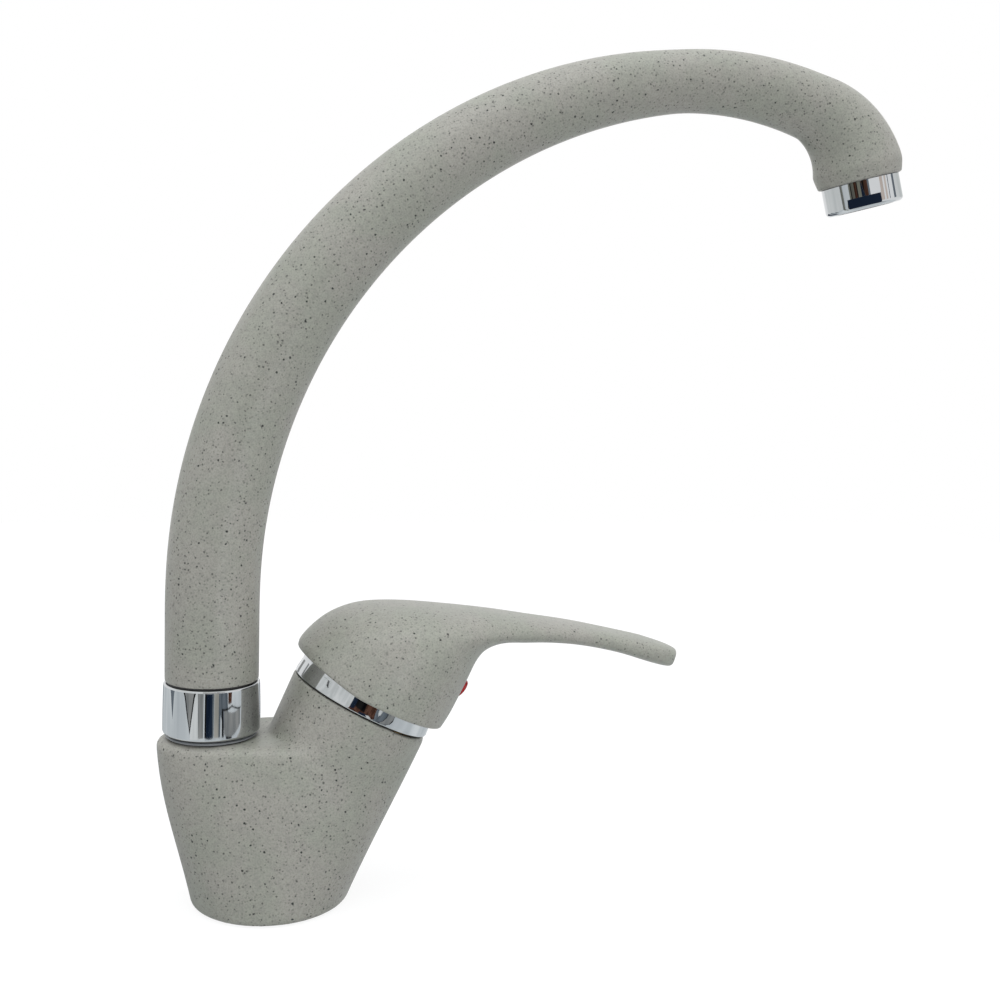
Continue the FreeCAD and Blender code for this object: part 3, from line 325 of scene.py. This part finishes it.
def granite_specks(cells_per_metre, radius, chosen, strength):
    """How much of each point is a speck. Each chosen cell holds one, its radius a share of the cell."""
    cells = granite_nodes.new("ShaderNodeTexVoronoi")
    cells.inputs["Scale"].default_value = cells_per_metre
    granite_links.new(granite_ragged.outputs["Vector"], cells.inputs["Vector"])
    pick = granite_nodes.new("ShaderNodeSeparateColor")
    granite_links.new(cells.outputs["Color"], pick.inputs["Color"])
    inside = granite_range(cells.outputs["Distance"], radius, radius * 0.6, 0, strength)
    kept = granite_range(pick.outputs["Red"], 1 - chosen, 1 - chosen + 0.02, 0, 1)
    kept.node.name = f"chosen_{cells_per_metre}"
    both = granite_nodes.new("ShaderNodeMath")
    both.operation = "MULTIPLY"
    granite_links.new(inside, both.inputs[0])
    granite_links.new(kept, both.inputs[1])
    return both.outputs[0]


granite_patches = granite_range(granite_noise(55, 3), 0.36, 0.64, 0, 1)
granite_colour = granite_blend(granite_patches, (0.321, 0.328, 0.276, 1), (0.350, 0.338, 0.298, 1))
for grain_scale, low, high, strength, grain_colour in (
        (430, 0.35, 0.68, 0.26, (0.235, 0.235, 0.208, 1)),
        (1900, 0.40, 0.66, 0.42, (0.190, 0.186, 0.166, 1))):
    granite_grain = granite_range(granite_noise(grain_scale, 3), low, high, 0, strength)
    granite_colour = granite_blend(granite_grain, granite_colour, grain_colour)
for cells_per_metre, radius, chosen, strength, speck_colour in (
        (800, 0.30, 0.85, 0.60, (0.135, 0.131, 0.118, 1)),
        (560, 0.21, 0.80, 0.85, (0.060, 0.057, 0.052, 1)),
        (350, 0.15, 0.80, 0.97, (0.008, 0.008, 0.008, 1))):
    granite_speck = granite_specks(cells_per_metre, radius, chosen, strength)
    granite_colour = granite_blend(granite_speck, granite_colour, speck_colour)
granite_links.new(granite_colour, granite_paint.inputs["Base Color"])
granite_bump = granite_nodes.new("ShaderNodeBump")
granite_bump.inputs["Strength"].default_value = 0.3
granite_bump.inputs["Distance"].default_value = 0.0001
granite_links.new(granite_noise(800, 2), granite_bump.inputs["Height"])
granite_links.new(granite_bump.outputs["Normal"], granite_paint.inputs["Normal"])

rim_x, rim_z = 0.0288, 0.0631
rim_centre = Vector((rim_x, 0, rim_z))
tower_lean = radians(27.24)
tower_axis = Vector((sin(tower_lean), 0, cos(tower_lean)))
foot_radius = 0.0252
seat_level = 0.0548
seat_back_radius = 0.0173
riser_x = -0.019
tower_foot, tower_rim, tower_length = 0.0220, 0.0242, 0.034
front_swell, back_swell = 0.0006, 0.0015


def shape_flank_ring(verts, height, inset):
    """Move a ring of vertices onto the casting's egg-shaped outline at a height."""
    share = height / seat_level
    swell = sin(pi * share ** 1.6) if share > 0 else 0
    squeeze = cos(tower_lean * share)
    front = share * (rim_x - (rim_z - seat_level) * tower_axis.x / tower_axis.z)
    front_radius = foot_radius + (tower_rim - foot_radius) * share + front_swell * swell
    back_radius = foot_radius + (seat_back_radius - foot_radius) * share + back_swell * swell
    tail = foot_radius + (seat_back_radius - riser_x - foot_radius) * share + back_swell * swell
    back = back_radius - tail * squeeze
    for number, vert in enumerate(verts):
        turn = 2 * pi * number / len(verts)
        ahead = (cos(turn) + 1) / 2
        ahead = ahead * ahead * (3 - 2 * ahead)
        middle = back + (front * squeeze - back) * ahead
        radius = back_radius + (front_radius - back_radius) * ahead - inset
        vert.co = Vector(((middle + radius * cos(turn)) / squeeze, radius * sin(turn), height))


def start_ring(name, corners, radius):
    """Lay the first ring of a shell and open it for editing."""
    bpy.ops.object.select_all(action="DESELECT")
    bpy.ops.mesh.primitive_circle_add(vertices=corners, radius=radius, location=(0, 0, 0))
    shell = bpy.context.object
    shell.name = name
    bpy.ops.object.mode_set(mode="EDIT")
    return shell


def only(piece):
    """Select one piece and nothing else."""
    bpy.ops.object.select_all(action="DESELECT")
    piece.select_set(True)
    bpy.context.view_layer.objects.active = piece


def close_ends(piece):
    """Cap every open end of a shell and turn its faces outwards."""
    only(piece)
    bpy.ops.object.mode_set(mode="EDIT")
    bpy.ops.mesh.select_mode(type="EDGE")
    bpy.ops.mesh.select_all(action="DESELECT")
    bpy.ops.mesh.select_non_manifold()
    bpy.ops.mesh.fill_holes(sides=0)
    bpy.ops.mesh.select_all(action="SELECT")
    bpy.ops.mesh.normals_make_consistent(inside=False)
    bpy.ops.object.mode_set(mode="OBJECT")


def bar(low_radius, high_radius, length, centre, lean=0.0):
    """A round bar or cone for joining to a casting or cutting from it."""
    bpy.ops.object.select_all(action="DESELECT")
    bpy.ops.mesh.primitive_cone_add(vertices=96, radius1=low_radius, radius2=high_radius, depth=length,
                                    location=centre, rotation=(0, lean, 0))
    bpy.ops.object.transform_apply(location=True, rotation=True)
    return bpy.context.object


def boolean(piece, tool, operation):
    """Join a tool to a piece, or cut it away, and clear the tool off the bench."""
    change = piece.modifiers.new(operation.lower(), "BOOLEAN")
    change.object = tool
    change.operation = operation
    change.solver = "EXACT"
    only(piece)
    bpy.ops.object.modifier_apply(modifier=change.name)
    bpy.data.objects.remove(tool, do_unlink=True)


flank_top, edge_rise, edge_inset = 0.052, 0.0028, 0.0036
levels = [(0.0, 0.0008), (0.0003, 0.0003), (0.0009, 0.0)]
levels += [(flank_top * step / 12, 0.0) for step in range(1, 13)]
levels += [(flank_top + edge_rise * sin(radians(turn)), edge_inset * (1 - cos(radians(turn))))
           for turn in (20, 40, 60, 78, 89)]
body_corners = 96
body = start_ring("body_casting", body_corners, foot_radius)
for _ in levels[1:]:
    bpy.ops.mesh.extrude_region_move(TRANSFORM_OT_translate={"value": (0, 0, 0.001)})
bpy.ops.object.mode_set(mode="OBJECT")
for step, (height, inset) in enumerate(levels):
    shape_flank_ring(body.data.vertices[body_corners * step:body_corners * (step + 1)], height, inset)
close_ends(body)
neck_radius, cartridge_bore, nut_bore, swivel_bore = 0.0124, 0.0204, 0.0212, 0.00955
foot_recess, stud_bore, hose_bore, hose_side = 0.0202, 0.0034, 0.0046, 0.008
boolean(body, bar(tower_foot, tower_rim, tower_length, rim_centre - tower_axis * 0.017, tower_lean), "UNION")
boolean(body, bar(neck_radius, neck_radius, 0.0272, (riser_x, 0, 0.0536)), "UNION")
boolean(body, bar(0.040, 0.040, 0.030, rim_centre + tower_axis * 0.015, tower_lean), "DIFFERENCE")
for bore, depth, below in ((cartridge_bore, 0.036, 0.016), (nut_bore, 0.010, 0.003)):
    boolean(body, bar(bore, bore, depth, rim_centre - tower_axis * below, tower_lean), "DIFFERENCE")
boolean(body, bar(swivel_bore, swivel_bore, 0.050, (riser_x, 0, 0.0496)), "DIFFERENCE")
boolean(body, bar(foot_recess, foot_recess, 0.014, (0, 0, 0.005)), "DIFFERENCE")
boolean(body, bar(stud_bore, stud_bore, 0.014, (-0.013, 0, 0.014)), "DIFFERENCE")
for side in (-hose_side, hose_side):
    boolean(body, bar(hose_bore, hose_bore, 0.0155, (0.00968, side, 0.01575)), "DIFFERENCE")

remesh = body.modifiers.new("sand_blasted", "REMESH")
remesh.mode = "VOXEL"
remesh.voxel_size = 0.00063
bpy.ops.object.modifier_apply(modifier=remesh.name)
ease = body.modifiers.new("eased_edges", "SMOOTH")
ease.factor = 0.5
ease.iterations = 4
bpy.ops.object.modifier_apply(modifier=ease.name)
fillet_reach, collar_clear = 0.0055, 0.0150
crease = body.vertex_groups.new(name="seat_to_tower")
for vert in body.data.vertices:
    along = (vert.co - rim_centre).dot(tower_axis)
    across = (vert.co - rim_centre - tower_axis * along).length
    skin = tower_rim + (tower_rim - tower_foot) * along / tower_length
    away = ((across - skin) ** 2 + (vert.co.z - seat_level) ** 2) ** 0.5
    if away < fillet_reach and vert.co.x > riser_x + collar_clear:
        crease.add([vert.index], min(1.0, 2.0 * (1 - away / fillet_reach)), "REPLACE")
fillet = body.modifiers.new("cast_fillet", "SMOOTH")
fillet.vertex_group = crease.name
fillet.factor = 0.5
fillet.iterations = 60
bpy.ops.object.modifier_apply(modifier=fillet.name)
bpy.ops.object.shade_smooth()
body.data.materials.clear()
body.data.materials.append(granite)
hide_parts("body")
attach(body, "mixer_body")


# Base gasket and seals. Moulded black rubber: the ring in the groove under the foot, the cartridge's
# seals and the swivel's two O-rings. The rubber is dull and slightly dusty.
black_rubber = bpy.data.materials.new("moulded_black_rubber")
black_rubber.use_nodes = True
rubber_nodes = black_rubber.node_tree.nodes
rubber_paint = rubber_nodes["Principled BSDF"]
rubber_paint.inputs["Roughness"].default_value = 0.75
rubber_place = rubber_nodes.new("ShaderNodeTexCoord")
rubber_dust = rubber_nodes.new("ShaderNodeTexNoise")
rubber_dust.inputs["Scale"].default_value = 260
rubber_tone = rubber_nodes.new("ShaderNodeValToRGB")
rubber_tone.color_ramp.elements[0].color = (0.012, 0.012, 0.012, 1)
rubber_tone.color_ramp.elements[1].color = (0.035, 0.034, 0.032, 1)
black_rubber.node_tree.links.new(rubber_place.outputs["Object"], rubber_dust.inputs["Vector"])
black_rubber.node_tree.links.new(rubber_dust.outputs["Fac"], rubber_tone.inputs["Fac"])
black_rubber.node_tree.links.new(rubber_tone.outputs["Color"], rubber_paint.inputs["Base Color"])


def refinish(material, *names):
    """Give CAD pieces whose shape stays their real finish."""
    for name in names:
        nodes[name].data.materials.clear()
        nodes[name].data.materials.append(material)


refinish(black_rubber, "base_gasket", "port_seals", "disc_seals", "lower_o_ring", "upper_o_ring",
         "aerator_washer")


# Cartridge. Its shell, base, turret and carrier are moulded acetal, off-white with faint flow marks.
# The two discs are lapped alumina. The stem, its pin and the grub screw are stainless steel, and the
# clamp nut over it and the spout's insert are turned brass.
def drifting_finish(name, low, high, scale, roughness, metal=0.0):
    """A finish whose colour drifts softly between two tones over the piece."""
    material = bpy.data.materials.new(name)
    material.use_nodes = True
    tree = material.node_tree
    paint = tree.nodes["Principled BSDF"]
    paint.inputs["Roughness"].default_value = roughness
    paint.inputs["Metallic"].default_value = metal
    place = tree.nodes.new("ShaderNodeTexCoord")
    drift = tree.nodes.new("ShaderNodeTexNoise")
    drift.inputs["Scale"].default_value = scale
    drift.inputs["Detail"].default_value = 4
    tone = tree.nodes.new("ShaderNodeValToRGB")
    tone.color_ramp.elements[0].position = 0.3
    tone.color_ramp.elements[1].position = 0.7
    tone.color_ramp.elements[0].color = low
    tone.color_ramp.elements[1].color = high
    tree.links.new(place.outputs["Object"], drift.inputs["Vector"])
    tree.links.new(drift.outputs["Fac"], tone.inputs["Fac"])
    tree.links.new(tone.outputs["Color"], paint.inputs["Base Color"])
    return material


acetal = drifting_finish("moulded_acetal", (0.66, 0.65, 0.61, 1), (0.72, 0.71, 0.67, 1), 90, 0.42)
alumina = drifting_finish("lapped_alumina", (0.80, 0.77, 0.70, 1), (0.84, 0.81, 0.75, 1), 400, 0.18)
steel = drifting_finish("turned_steel", (0.50, 0.50, 0.50, 1), (0.60, 0.60, 0.60, 1), 700, 0.28, 1.0)
brass = drifting_finish("turned_brass", (0.62, 0.44, 0.18, 1), (0.70, 0.52, 0.24, 1), 500, 0.3, 1.0)
refinish(acetal, "cartridge_housing", "cartridge_base", "cartridge_rotor", "disc_carrier")
refinish(alumina, "fixed_disc", "moving_disc")
refinish(steel, "pivot_pin", "lever_stem", "grub_screw", "retaining_ring")
refinish(brass, "clamp_nut", "spout_stub")


# Trim ring. A thin brass pressing over the clamp nut, polished and chromed: a plain band that tapers
# slightly over a shadow gap, rolled over into a dome with a hole for the cartridge's neck. The faces in
# the gap are painted near-black: painted shade.
chrome = bpy.data.materials.new("polished_chrome")
chrome.use_nodes = True
chrome_tree = chrome.node_tree
chrome_paint = chrome_tree.nodes["Principled BSDF"]
chrome_paint.inputs["Metallic"].default_value = 1.0
chrome_place = chrome_tree.nodes.new("ShaderNodeTexCoord")
chrome_haze = chrome_tree.nodes.new("ShaderNodeTexNoise")
chrome_haze.inputs["Scale"].default_value = 140
chrome_haze.inputs["Detail"].default_value = 5
chrome_rough = chrome_tree.nodes.new("ShaderNodeMapRange")
chrome_rough.inputs["To Min"].default_value = 0.015
chrome_rough.inputs["To Max"].default_value = 0.05
chrome_tone = chrome_tree.nodes.new("ShaderNodeValToRGB")
chrome_tone.color_ramp.elements[0].color = (0.54, 0.56, 0.575, 1)
chrome_tone.color_ramp.elements[1].color = (0.60, 0.615, 0.63, 1)
chrome_tree.links.new(chrome_place.outputs["Object"], chrome_haze.inputs["Vector"])
chrome_tree.links.new(chrome_haze.outputs["Fac"], chrome_rough.inputs["Value"])
chrome_tree.links.new(chrome_rough.outputs["Result"], chrome_paint.inputs["Roughness"])
chrome_tree.links.new(chrome_haze.outputs["Fac"], chrome_tone.inputs["Fac"])
chrome_tree.links.new(chrome_tone.outputs["Color"], chrome_paint.inputs["Base Color"])


def break_edges(piece, width, steps):
    """Take the sharpness off a piece's edges."""
    only(piece)
    rounding = piece.modifiers.new("broken_edges", "BEVEL")
    rounding.width = width
    rounding.segments = steps
    rounding.limit_method = "ANGLE"
    rounding.angle_limit = radians(30)
    bpy.ops.object.modifier_apply(modifier=rounding.name)


def even_normals(piece):
    """Let large faces shade flat across, so that they mirror without a false curve."""
    only(piece)
    evening = piece.modifiers.new("even_normals", "WEIGHTED_NORMAL")
    evening.keep_sharp = True
    bpy.ops.object.modifier_apply(modifier=evening.name)


def turned_ring(name, outline, place, lean=0.0, bevel=0.0, corners=128):
    """Turn a ring from its closed outline of (radius, height), and stand it on its axis.

    The first corner is a circle. Each further one is extruded and widened or narrowed from the last,
    and the last is bridged to the first.
    """
    ring = start_ring(name, corners, outline[0][0])
    bpy.ops.transform.translate(value=(0, 0, outline[0][1]))
    for (last_radius, last_height), (radius, height) in zip(outline, outline[1:]):
        bpy.ops.mesh.extrude_region_move(TRANSFORM_OT_translate={"value": (0, 0, height - last_height)})
        wider = radius / last_radius
        bpy.ops.transform.resize(value=(wider, wider, 1), center_override=(0, 0, height))
    bpy.ops.mesh.select_mode(type="EDGE")
    bpy.ops.mesh.select_all(action="DESELECT")
    bpy.ops.mesh.select_non_manifold()
    bpy.ops.mesh.bridge_edge_loops()
    bpy.ops.mesh.select_all(action="SELECT")
    bpy.ops.mesh.normals_make_consistent(inside=False)
    bpy.ops.object.mode_set(mode="OBJECT")
    if bevel:
        break_edges(ring, bevel, 3)
    ring.location = place
    ring.rotation_euler = (0, lean, 0)
    bpy.ops.object.transform_apply(location=True, rotation=True)
    bpy.ops.object.shade_smooth_by_angle(angle=radians(35))
    even_normals(ring)
    return ring


# A near-black finish for faces down in the narrow gaps under the chrome parts: painted shade.
painted_gap_shade = drifting_finish("painted_shade_in_gaps", (0.008, 0.008, 0.009, 1), (0.014, 0.014, 0.015, 1), 300, 0.5)
trim = turned_ring("chromed_trim_ring", [
    (0.0195, 0.0), (0.0227, 0.0), (0.0227, 0.00045), (0.02385, 0.00045), (0.0241, 0.0007),
    (0.02402, 0.0018), (0.02385, 0.0033), (0.02367, 0.0050), (0.0235, 0.0065), (0.0229, 0.0080),
    (0.0214, 0.0094), (0.0190, 0.0104), (0.0162, 0.0109), (0.0146, 0.0110), (0.0146, 0.0096),
    (0.0195, 0.0060)], rim_centre, tower_lean, 0.0001)
trim.data.materials.append(chrome)
trim.data.materials.append(painted_gap_shade)
# The faces at the band's foot, down in the shadow gap, take the near-black finish: painted shade.
for face in trim.data.polygons:
    if (face.center - rim_centre).dot(tower_axis) < 0.00046:
        face.material_index = 1
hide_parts("trim_ring")
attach(trim, "mixer_body")


# Collar set. The chromed collar nut holds the spout down on the neck. A grey ring lies under it and a
# thin black washer on top of it, both moulded plastic. The ring's recessed top step and its foot are
# painted near-black: painted shade in the gaps under the collar and over the seat.
collar = turned_ring("chromed_collar", [
    (0.01245, 0.0), (0.0149, 0.0), (0.0153, 0.0006), (0.0153, 0.0038), (0.015293, 0.0058),
    (0.015272, 0.0078), (0.015236, 0.0098), (0.015187, 0.0118), (0.015123, 0.0138), (0.01505, 0.0157),
    (0.0147, 0.0161), (0.0097, 0.0161), (0.0097, 0.0127), (0.01245, 0.0127)],
    (riser_x, 0, 0.05635), 0.0, 0.00025)
collar.data.materials.append(chrome)
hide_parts("spout_collar")
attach(collar, "mixer_body")

ring_grey = drifting_finish("moulded_grey_ring", (0.17, 0.18, 0.19, 1), (0.22, 0.23, 0.24, 1), 300, 0.2)
neck_ring = turned_ring("seat_ring", [
    (0.01245, 0.0), (0.0140, 0.0), (0.0140, 0.0002), (0.0143, 0.0003), (0.0145, 0.0005), (0.0145, 0.0008),
    (0.0143, 0.0010), (0.0137, 0.0011), (0.0137, 0.0015), (0.01245, 0.0015)], (riser_x, 0, 0.0548))
neck_ring.data.materials.append(ring_grey)
neck_ring.data.materials.append(painted_gap_shade)
# The recessed top step and the foot of the ring take the near-black finish: painted shade.
for face in neck_ring.data.polygons:
    if face.center.z > 0.05585 or face.center.z < 0.05495:
        face.material_index = 1
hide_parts("neck_ring")
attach(neck_ring, "mixer_body")

washer_black = drifting_finish("moulded_black_washer", (0.010, 0.010, 0.010, 1), (0.022, 0.022, 0.022, 1),
                               400, 0.5)
washer = turned_ring("black_slide_washer", [
    (0.0096, 0.0), (0.0142, 0.0), (0.0142, 0.0005), (0.0096, 0.0005)], (riser_x, 0, 0.0725), 0.0, 0.00008)
washer.data.materials.append(washer_black)
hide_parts("slide_washer")
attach(washer, "swivel_spout")


# Spout. A hollow casting that rises straight off the collar, bends over in one long arch and swells
# into a head that turns down to the mouth. Its two end faces have small rounded edges. A ring is
# extruded along the centre line, turned with each bend and widened or narrowed to each station.
root_radius, crown_radius, nape_radius, head_radius = 0.01473, 0.01025, 0.0113, 0.0156
spout_ends = [(0.0, 0.0100), (0.0, 0.0142), (0.0, 0.0144), (0.0001, 0.01463), (0.0004, root_radius)]
spout_foot = Vector((riser_x, 0, 0.07305))
stations = [(spout_foot + Vector((0, 0, rise)), 0.0, radius) for rise, radius in spout_ends]
stations += [(spout_foot + Vector((0, 0, rise)), 0.0, root_radius)
             for rise in (0.0065, 0.013, 0.0195, 0.026)]
for bend, angle, steps, first, middle, last in (
        (0.176, 81.99, 24, root_radius, 0.01366, crown_radius),
        (0.1191, 25.02, 8, crown_radius, 0.01075, nape_radius),
        (0.028, 57.4, 12, nape_radius, 0.01345, head_radius)):
    place, lean = stations[-1][0], stations[-1][1]
    hub = place + Vector((cos(lean), 0, -sin(lean))) * bend
    for step in range(1, steps + 1):
        share = step / steps
        now = lean + radians(angle) * share
        curve = 2 * (first + last - 2 * middle)
        radius = first + (last - first - curve) * share + curve * share * share
        stations.append((hub - Vector((cos(now), 0, -sin(now))) * bend, now, radius))
place, mouth_lean = stations[-1][0], stations[-1][1]
mouth_ahead = Vector((sin(mouth_lean), 0, cos(mouth_lean)))
head_straight = 0.00495
mouth = place + mouth_ahead * head_straight
mouth_ends = [(-0.0026, 0.0151), (-0.0009, 0.0147), (-0.0003, 0.0145), (0.0, 0.0140), (0.0, 0.0122),
              (-0.0004, 0.0121), (-0.0070, 0.0121), (-0.0072, 0.0100)]
stations += [(mouth + mouth_ahead * ahead, mouth_lean, radius) for ahead, radius in mouth_ends]

spout = start_ring("cast_spout", 48, stations[0][2])
bpy.ops.transform.translate(value=stations[0][0])
for (last_place, last_lean, last_radius), (place, lean, radius) in zip(stations, stations[1:]):
    bpy.ops.mesh.extrude_region_move(TRANSFORM_OT_translate={"value": place - last_place})
    bpy.ops.transform.rotate(value=last_lean - lean, orient_axis="Y", center_override=place)
    wider = radius / last_radius
    bpy.ops.transform.resize(value=(wider, wider, wider), center_override=place)
bpy.ops.object.mode_set(mode="OBJECT")
close_ends(spout)
fair = spout.modifiers.new("fair_surface", "SUBSURF")
fair.levels = 2
fair.render_levels = 2
bpy.ops.object.modifier_apply(modifier=fair.name)
bpy.ops.object.shade_smooth()
spout.data.materials.append(granite)
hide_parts("spout")
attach(spout, "swivel_spout")


# Aerator. A chromed brass housing screwed into the mouth, with two flats for a wrench, a grey plastic
# jet block inside it and a fine grid over its outlet.
shell = turned_ring("chromed_aerator", [
    (0.0106, -0.006), (0.0120, -0.006), (0.0120, 0.0001), (0.0133, 0.0001), (0.0134, 0.0002),
    (0.0134, 0.0082), (0.01335, 0.00861), (0.01319, 0.009), (0.01293, 0.00933), (0.0126, 0.00959),
    (0.01221, 0.00975), (0.0118, 0.0098), (0.0101, 0.0098), (0.0101, 0.0084), (0.0106, 0.0084)],
    (0, 0, 0))
flat_off_axis, flat_height_mid, flat_turn = 0.01215, 0.0072, radians(-60)
flat_deep, flat_wide, flat_tall = 0.0040, 0.0113, 0.0033
for side in (1, -1):
    bpy.ops.object.select_all(action="DESELECT")
    bpy.ops.mesh.primitive_cube_add(size=1.0)
    flat = bpy.context.object
    flat.scale = (flat_deep, flat_wide, flat_tall)
    flat.location = (side * (flat_off_axis + flat_deep / 2), 0, flat_height_mid)
    bpy.ops.object.transform_apply(location=True, scale=True)
    flat.rotation_euler = (0, 0, flat_turn)
    bpy.ops.object.transform_apply(rotation=True)
    boolean(shell, flat, "DIFFERENCE")
break_edges(shell, 0.00015, 4)
shell.location = mouth
shell.rotation_euler = (0, mouth_lean, 0)
bpy.ops.object.transform_apply(location=True, rotation=True)
bpy.ops.object.shade_smooth_by_angle(angle=radians(20))
even_normals(shell)
shell.data.materials.append(chrome)
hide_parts("aerator_housing")
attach(shell, "swivel_spout")
jet_grey = drifting_finish("moulded_jet_plastic", (0.10, 0.105, 0.11, 1), (0.14, 0.145, 0.15, 1), 300, 0.4)
refinish(jet_grey, "aerator_insert", "aerator_screen")


# Lever. One painted casting: a hood that covers the trim ring, drawn out into a flat arm with a soft
# ridge along each side of its top. Its rim is thin and rises at the back to clear the body. Its coat
# took fewer of the dark grains than the body's.

# Each section has its outer point and its inner point, in millimetres from the rim's centre along X
# and Z, its half-width, and how square it is.
arm_sections = [
    (-22.2, 17.0, 27.0, -8.1, 27.5, 2.0), (-20.2, 21.5, 29.5, -3.8, 27.5, 2.0),
    (-16.1, 26.1, 32.4, 1.8, 27.2, 2.0), (-9.9, 30.4, 35.7, 8.8, 26.3, 2.05),
    (-0.7, 33.2, 38.3, 14.5, 24.4, 2.1), (12.2, 33.4, 41.6, 18.3, 21.7, 2.15),
    (27.2, 32.1, 47.3, 20.2, 18.4, 2.25), (43.2, 30.3, 54.8, 20.0, 15.5, 2.4),
    (58.2, 27.9, 63.2, 19.8, 13.4, 2.6), (73.2, 25.5, 74.4, 18.6, 12.2, 2.8),
    (88.2, 22.3, 87.4, 15.8, 11.6, 2.9), (99.6, 19.7, 97.4, 12.6, 11.35, 3.0),
]


def between_sections(station):
    """The section at a station between two of the list, on a smooth curve through them all."""
    number = min(int(station), len(arm_sections) - 2)
    share = station - number
    near = [arm_sections[max(0, min(len(arm_sections) - 1, number + step))] for step in (-1, 0, 1, 2)]
    blend = []
    for before, start, end, after in zip(*near):
        blend.append(start + 0.5 * share * (
            end - before + share * (2 * before - 5 * start + 4 * end - after
                                    + share * (3 * (start - end) + after - before))))
    return blend


arm_corners = 48


def arm_ring(section, thinner=0.0, narrower=0.0, ahead=0.0):
    """Points round a section of the lever, in millimetres from the rim's centre."""
    outer_x, outer_z, inner_x, inner_z, half_width, square = section
    half = Vector((outer_x - inner_x, 0, outer_z - inner_z)) / 2
    height = half.normalized()
    middle = Vector((outer_x + inner_x, 0, outer_z + inner_z)) / 2 + Vector((0, 1, 0)).cross(height) * ahead
    ring = []
    for number in range(arm_corners):
        turn = 2 * pi * number / arm_corners
        across = abs(cos(turn)) ** (2 / square) * (1 if cos(turn) > 0 else -1)
        up = abs(sin(turn)) ** (2 / square) * (1 if sin(turn) > 0 else -1)
        ring.append(middle + height * ((half.length - thinner) * up)
                    + Vector((0, 1, 0)) * ((half_width - narrower) * across))
    return ring


back_lift_start, back_lift_rate = -8.0, 0.148


def hood_ring(radius, level):
    """A ring about the tower's axis, lifted at the back as the hood's rim is."""
    out = Vector((tower_axis.z, 0, -tower_axis.x))
    ring = []
    for number in range(arm_corners):
        turn = 2 * pi * number / arm_corners
        ahead = -radius * sin(turn)
        lift = max(0.0, back_lift_start - ahead) * back_lift_rate
        ring.append(out * ahead + Vector((0, 1, 0)) * (radius * cos(turn)) + tower_axis * (level + lift))
    return ring


rings = [hood_ring(9.0, 18.4), hood_ring(16.0, 17.8), hood_ring(21.5, 14.2), hood_ring(24.6, 8.6),
         hood_ring(25.4, 6.4), hood_ring(25.9, 5.35), hood_ring(26.3, 5.1), hood_ring(26.8, 5.1),
         hood_ring(27.25, 5.25), hood_ring(27.5, 5.7), hood_ring(27.55, 6.4)]
rings += [arm_ring(between_sections(1 + step / 3)) for step in range(31)]
tip_thinning, tip_narrowing, tip_length = 1.1, 9.3, 12.5
for turn in (12, 24, 36, 48, 59, 69, 78, 84, 88):
    shrink = 1 - cos(radians(turn))
    rings.append(arm_ring(arm_sections[-1], tip_thinning * shrink * shrink, tip_narrowing * shrink,
                          tip_length * sin(radians(turn))))

lever = start_ring("cast_lever", arm_corners, 0.01)
for _ in rings[1:]:
    bpy.ops.mesh.extrude_region_move(TRANSFORM_OT_translate={"value": (0, 0, 0.001)})
bpy.ops.object.mode_set(mode="OBJECT")
for step, ring in enumerate(rings):
    for number, point in enumerate(ring):
        lever.data.vertices[arm_corners * step + number].co = rim_centre + point * 0.001
close_ends(lever)
fair = lever.modifiers.new("fair_surface", "SUBSURF")
fair.levels = 2
fair.render_levels = 2
bpy.ops.object.modifier_apply(modifier=fair.name)
bpy.ops.object.shade_smooth()
fewer_specks = ((560, 0.55), (350, 0.35))
lever_granite = granite.copy()
lever_granite.name = "granite_spray_lever"
for cells_per_metre, chosen in fewer_specks:
    kept = lever_granite.node_tree.nodes[f"chosen_{cells_per_metre}"]
    kept.inputs["From Min"].default_value = 1 - chosen
    kept.inputs["From Max"].default_value = 1 - chosen + 0.02
lever.data.materials.append(lever_granite)
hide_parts("lever_handle")
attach(lever, "lever")


# Index plug. A small glossy button pressed into the hood over the grub screw, red on the hot side
# and blue on the cold side.
stem_lean = tower_lean + radians(12.5)
screw_height, plug_seat = 0.0245, 0.0220
screw_way = Vector((cos(stem_lean), 0, -sin(stem_lean)))
screw_start = rim_centre + Vector((sin(stem_lean), 0, cos(stem_lean))) * screw_height
index = turned_ring("index_button", [
    (0.0002, -0.0040), (0.00245, -0.0040), (0.00245, 0.0), (0.0034, 0.0), (0.0035, 0.0002), (0.0035, 0.0018),
    (0.0033, 0.0023), (0.0027, 0.0026), (0.0015, 0.00278), (0.0002, 0.0028)],
    screw_start + screw_way * plug_seat, stem_lean + pi / 2, 0.0, 64)
two_colour = bpy.data.materials.new("red_and_blue_plastic")
two_colour.use_nodes = True
button_tree = two_colour.node_tree
button_paint = button_tree.nodes["Principled BSDF"]
button_paint.inputs["Roughness"].default_value = 0.22
button_place = button_tree.nodes.new("ShaderNodeTexCoord")
button_axes = button_tree.nodes.new("ShaderNodeSeparateXYZ")
button_side = button_tree.nodes.new("ShaderNodeMath")
button_side.operation = "GREATER_THAN"
button_side.inputs[1].default_value = 0.0
button_mix = button_tree.nodes.new("ShaderNodeMix")
button_mix.data_type = "RGBA"
button_mix.inputs["A"].default_value = (0.40, 0.006, 0.010, 1)
button_mix.inputs["B"].default_value = (0.01, 0.06, 0.36, 1)
button_tree.links.new(button_place.outputs["Object"], button_axes.inputs["Vector"])
button_tree.links.new(button_axes.outputs["Y"], button_side.inputs[0])
button_tree.links.new(button_side.outputs[0], button_mix.inputs["Factor"])
button_tree.links.new(button_mix.outputs["Result"], button_paint.inputs["Base Color"])
index.data.materials.append(two_colour)
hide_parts("index_plug")
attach(index, "lever")
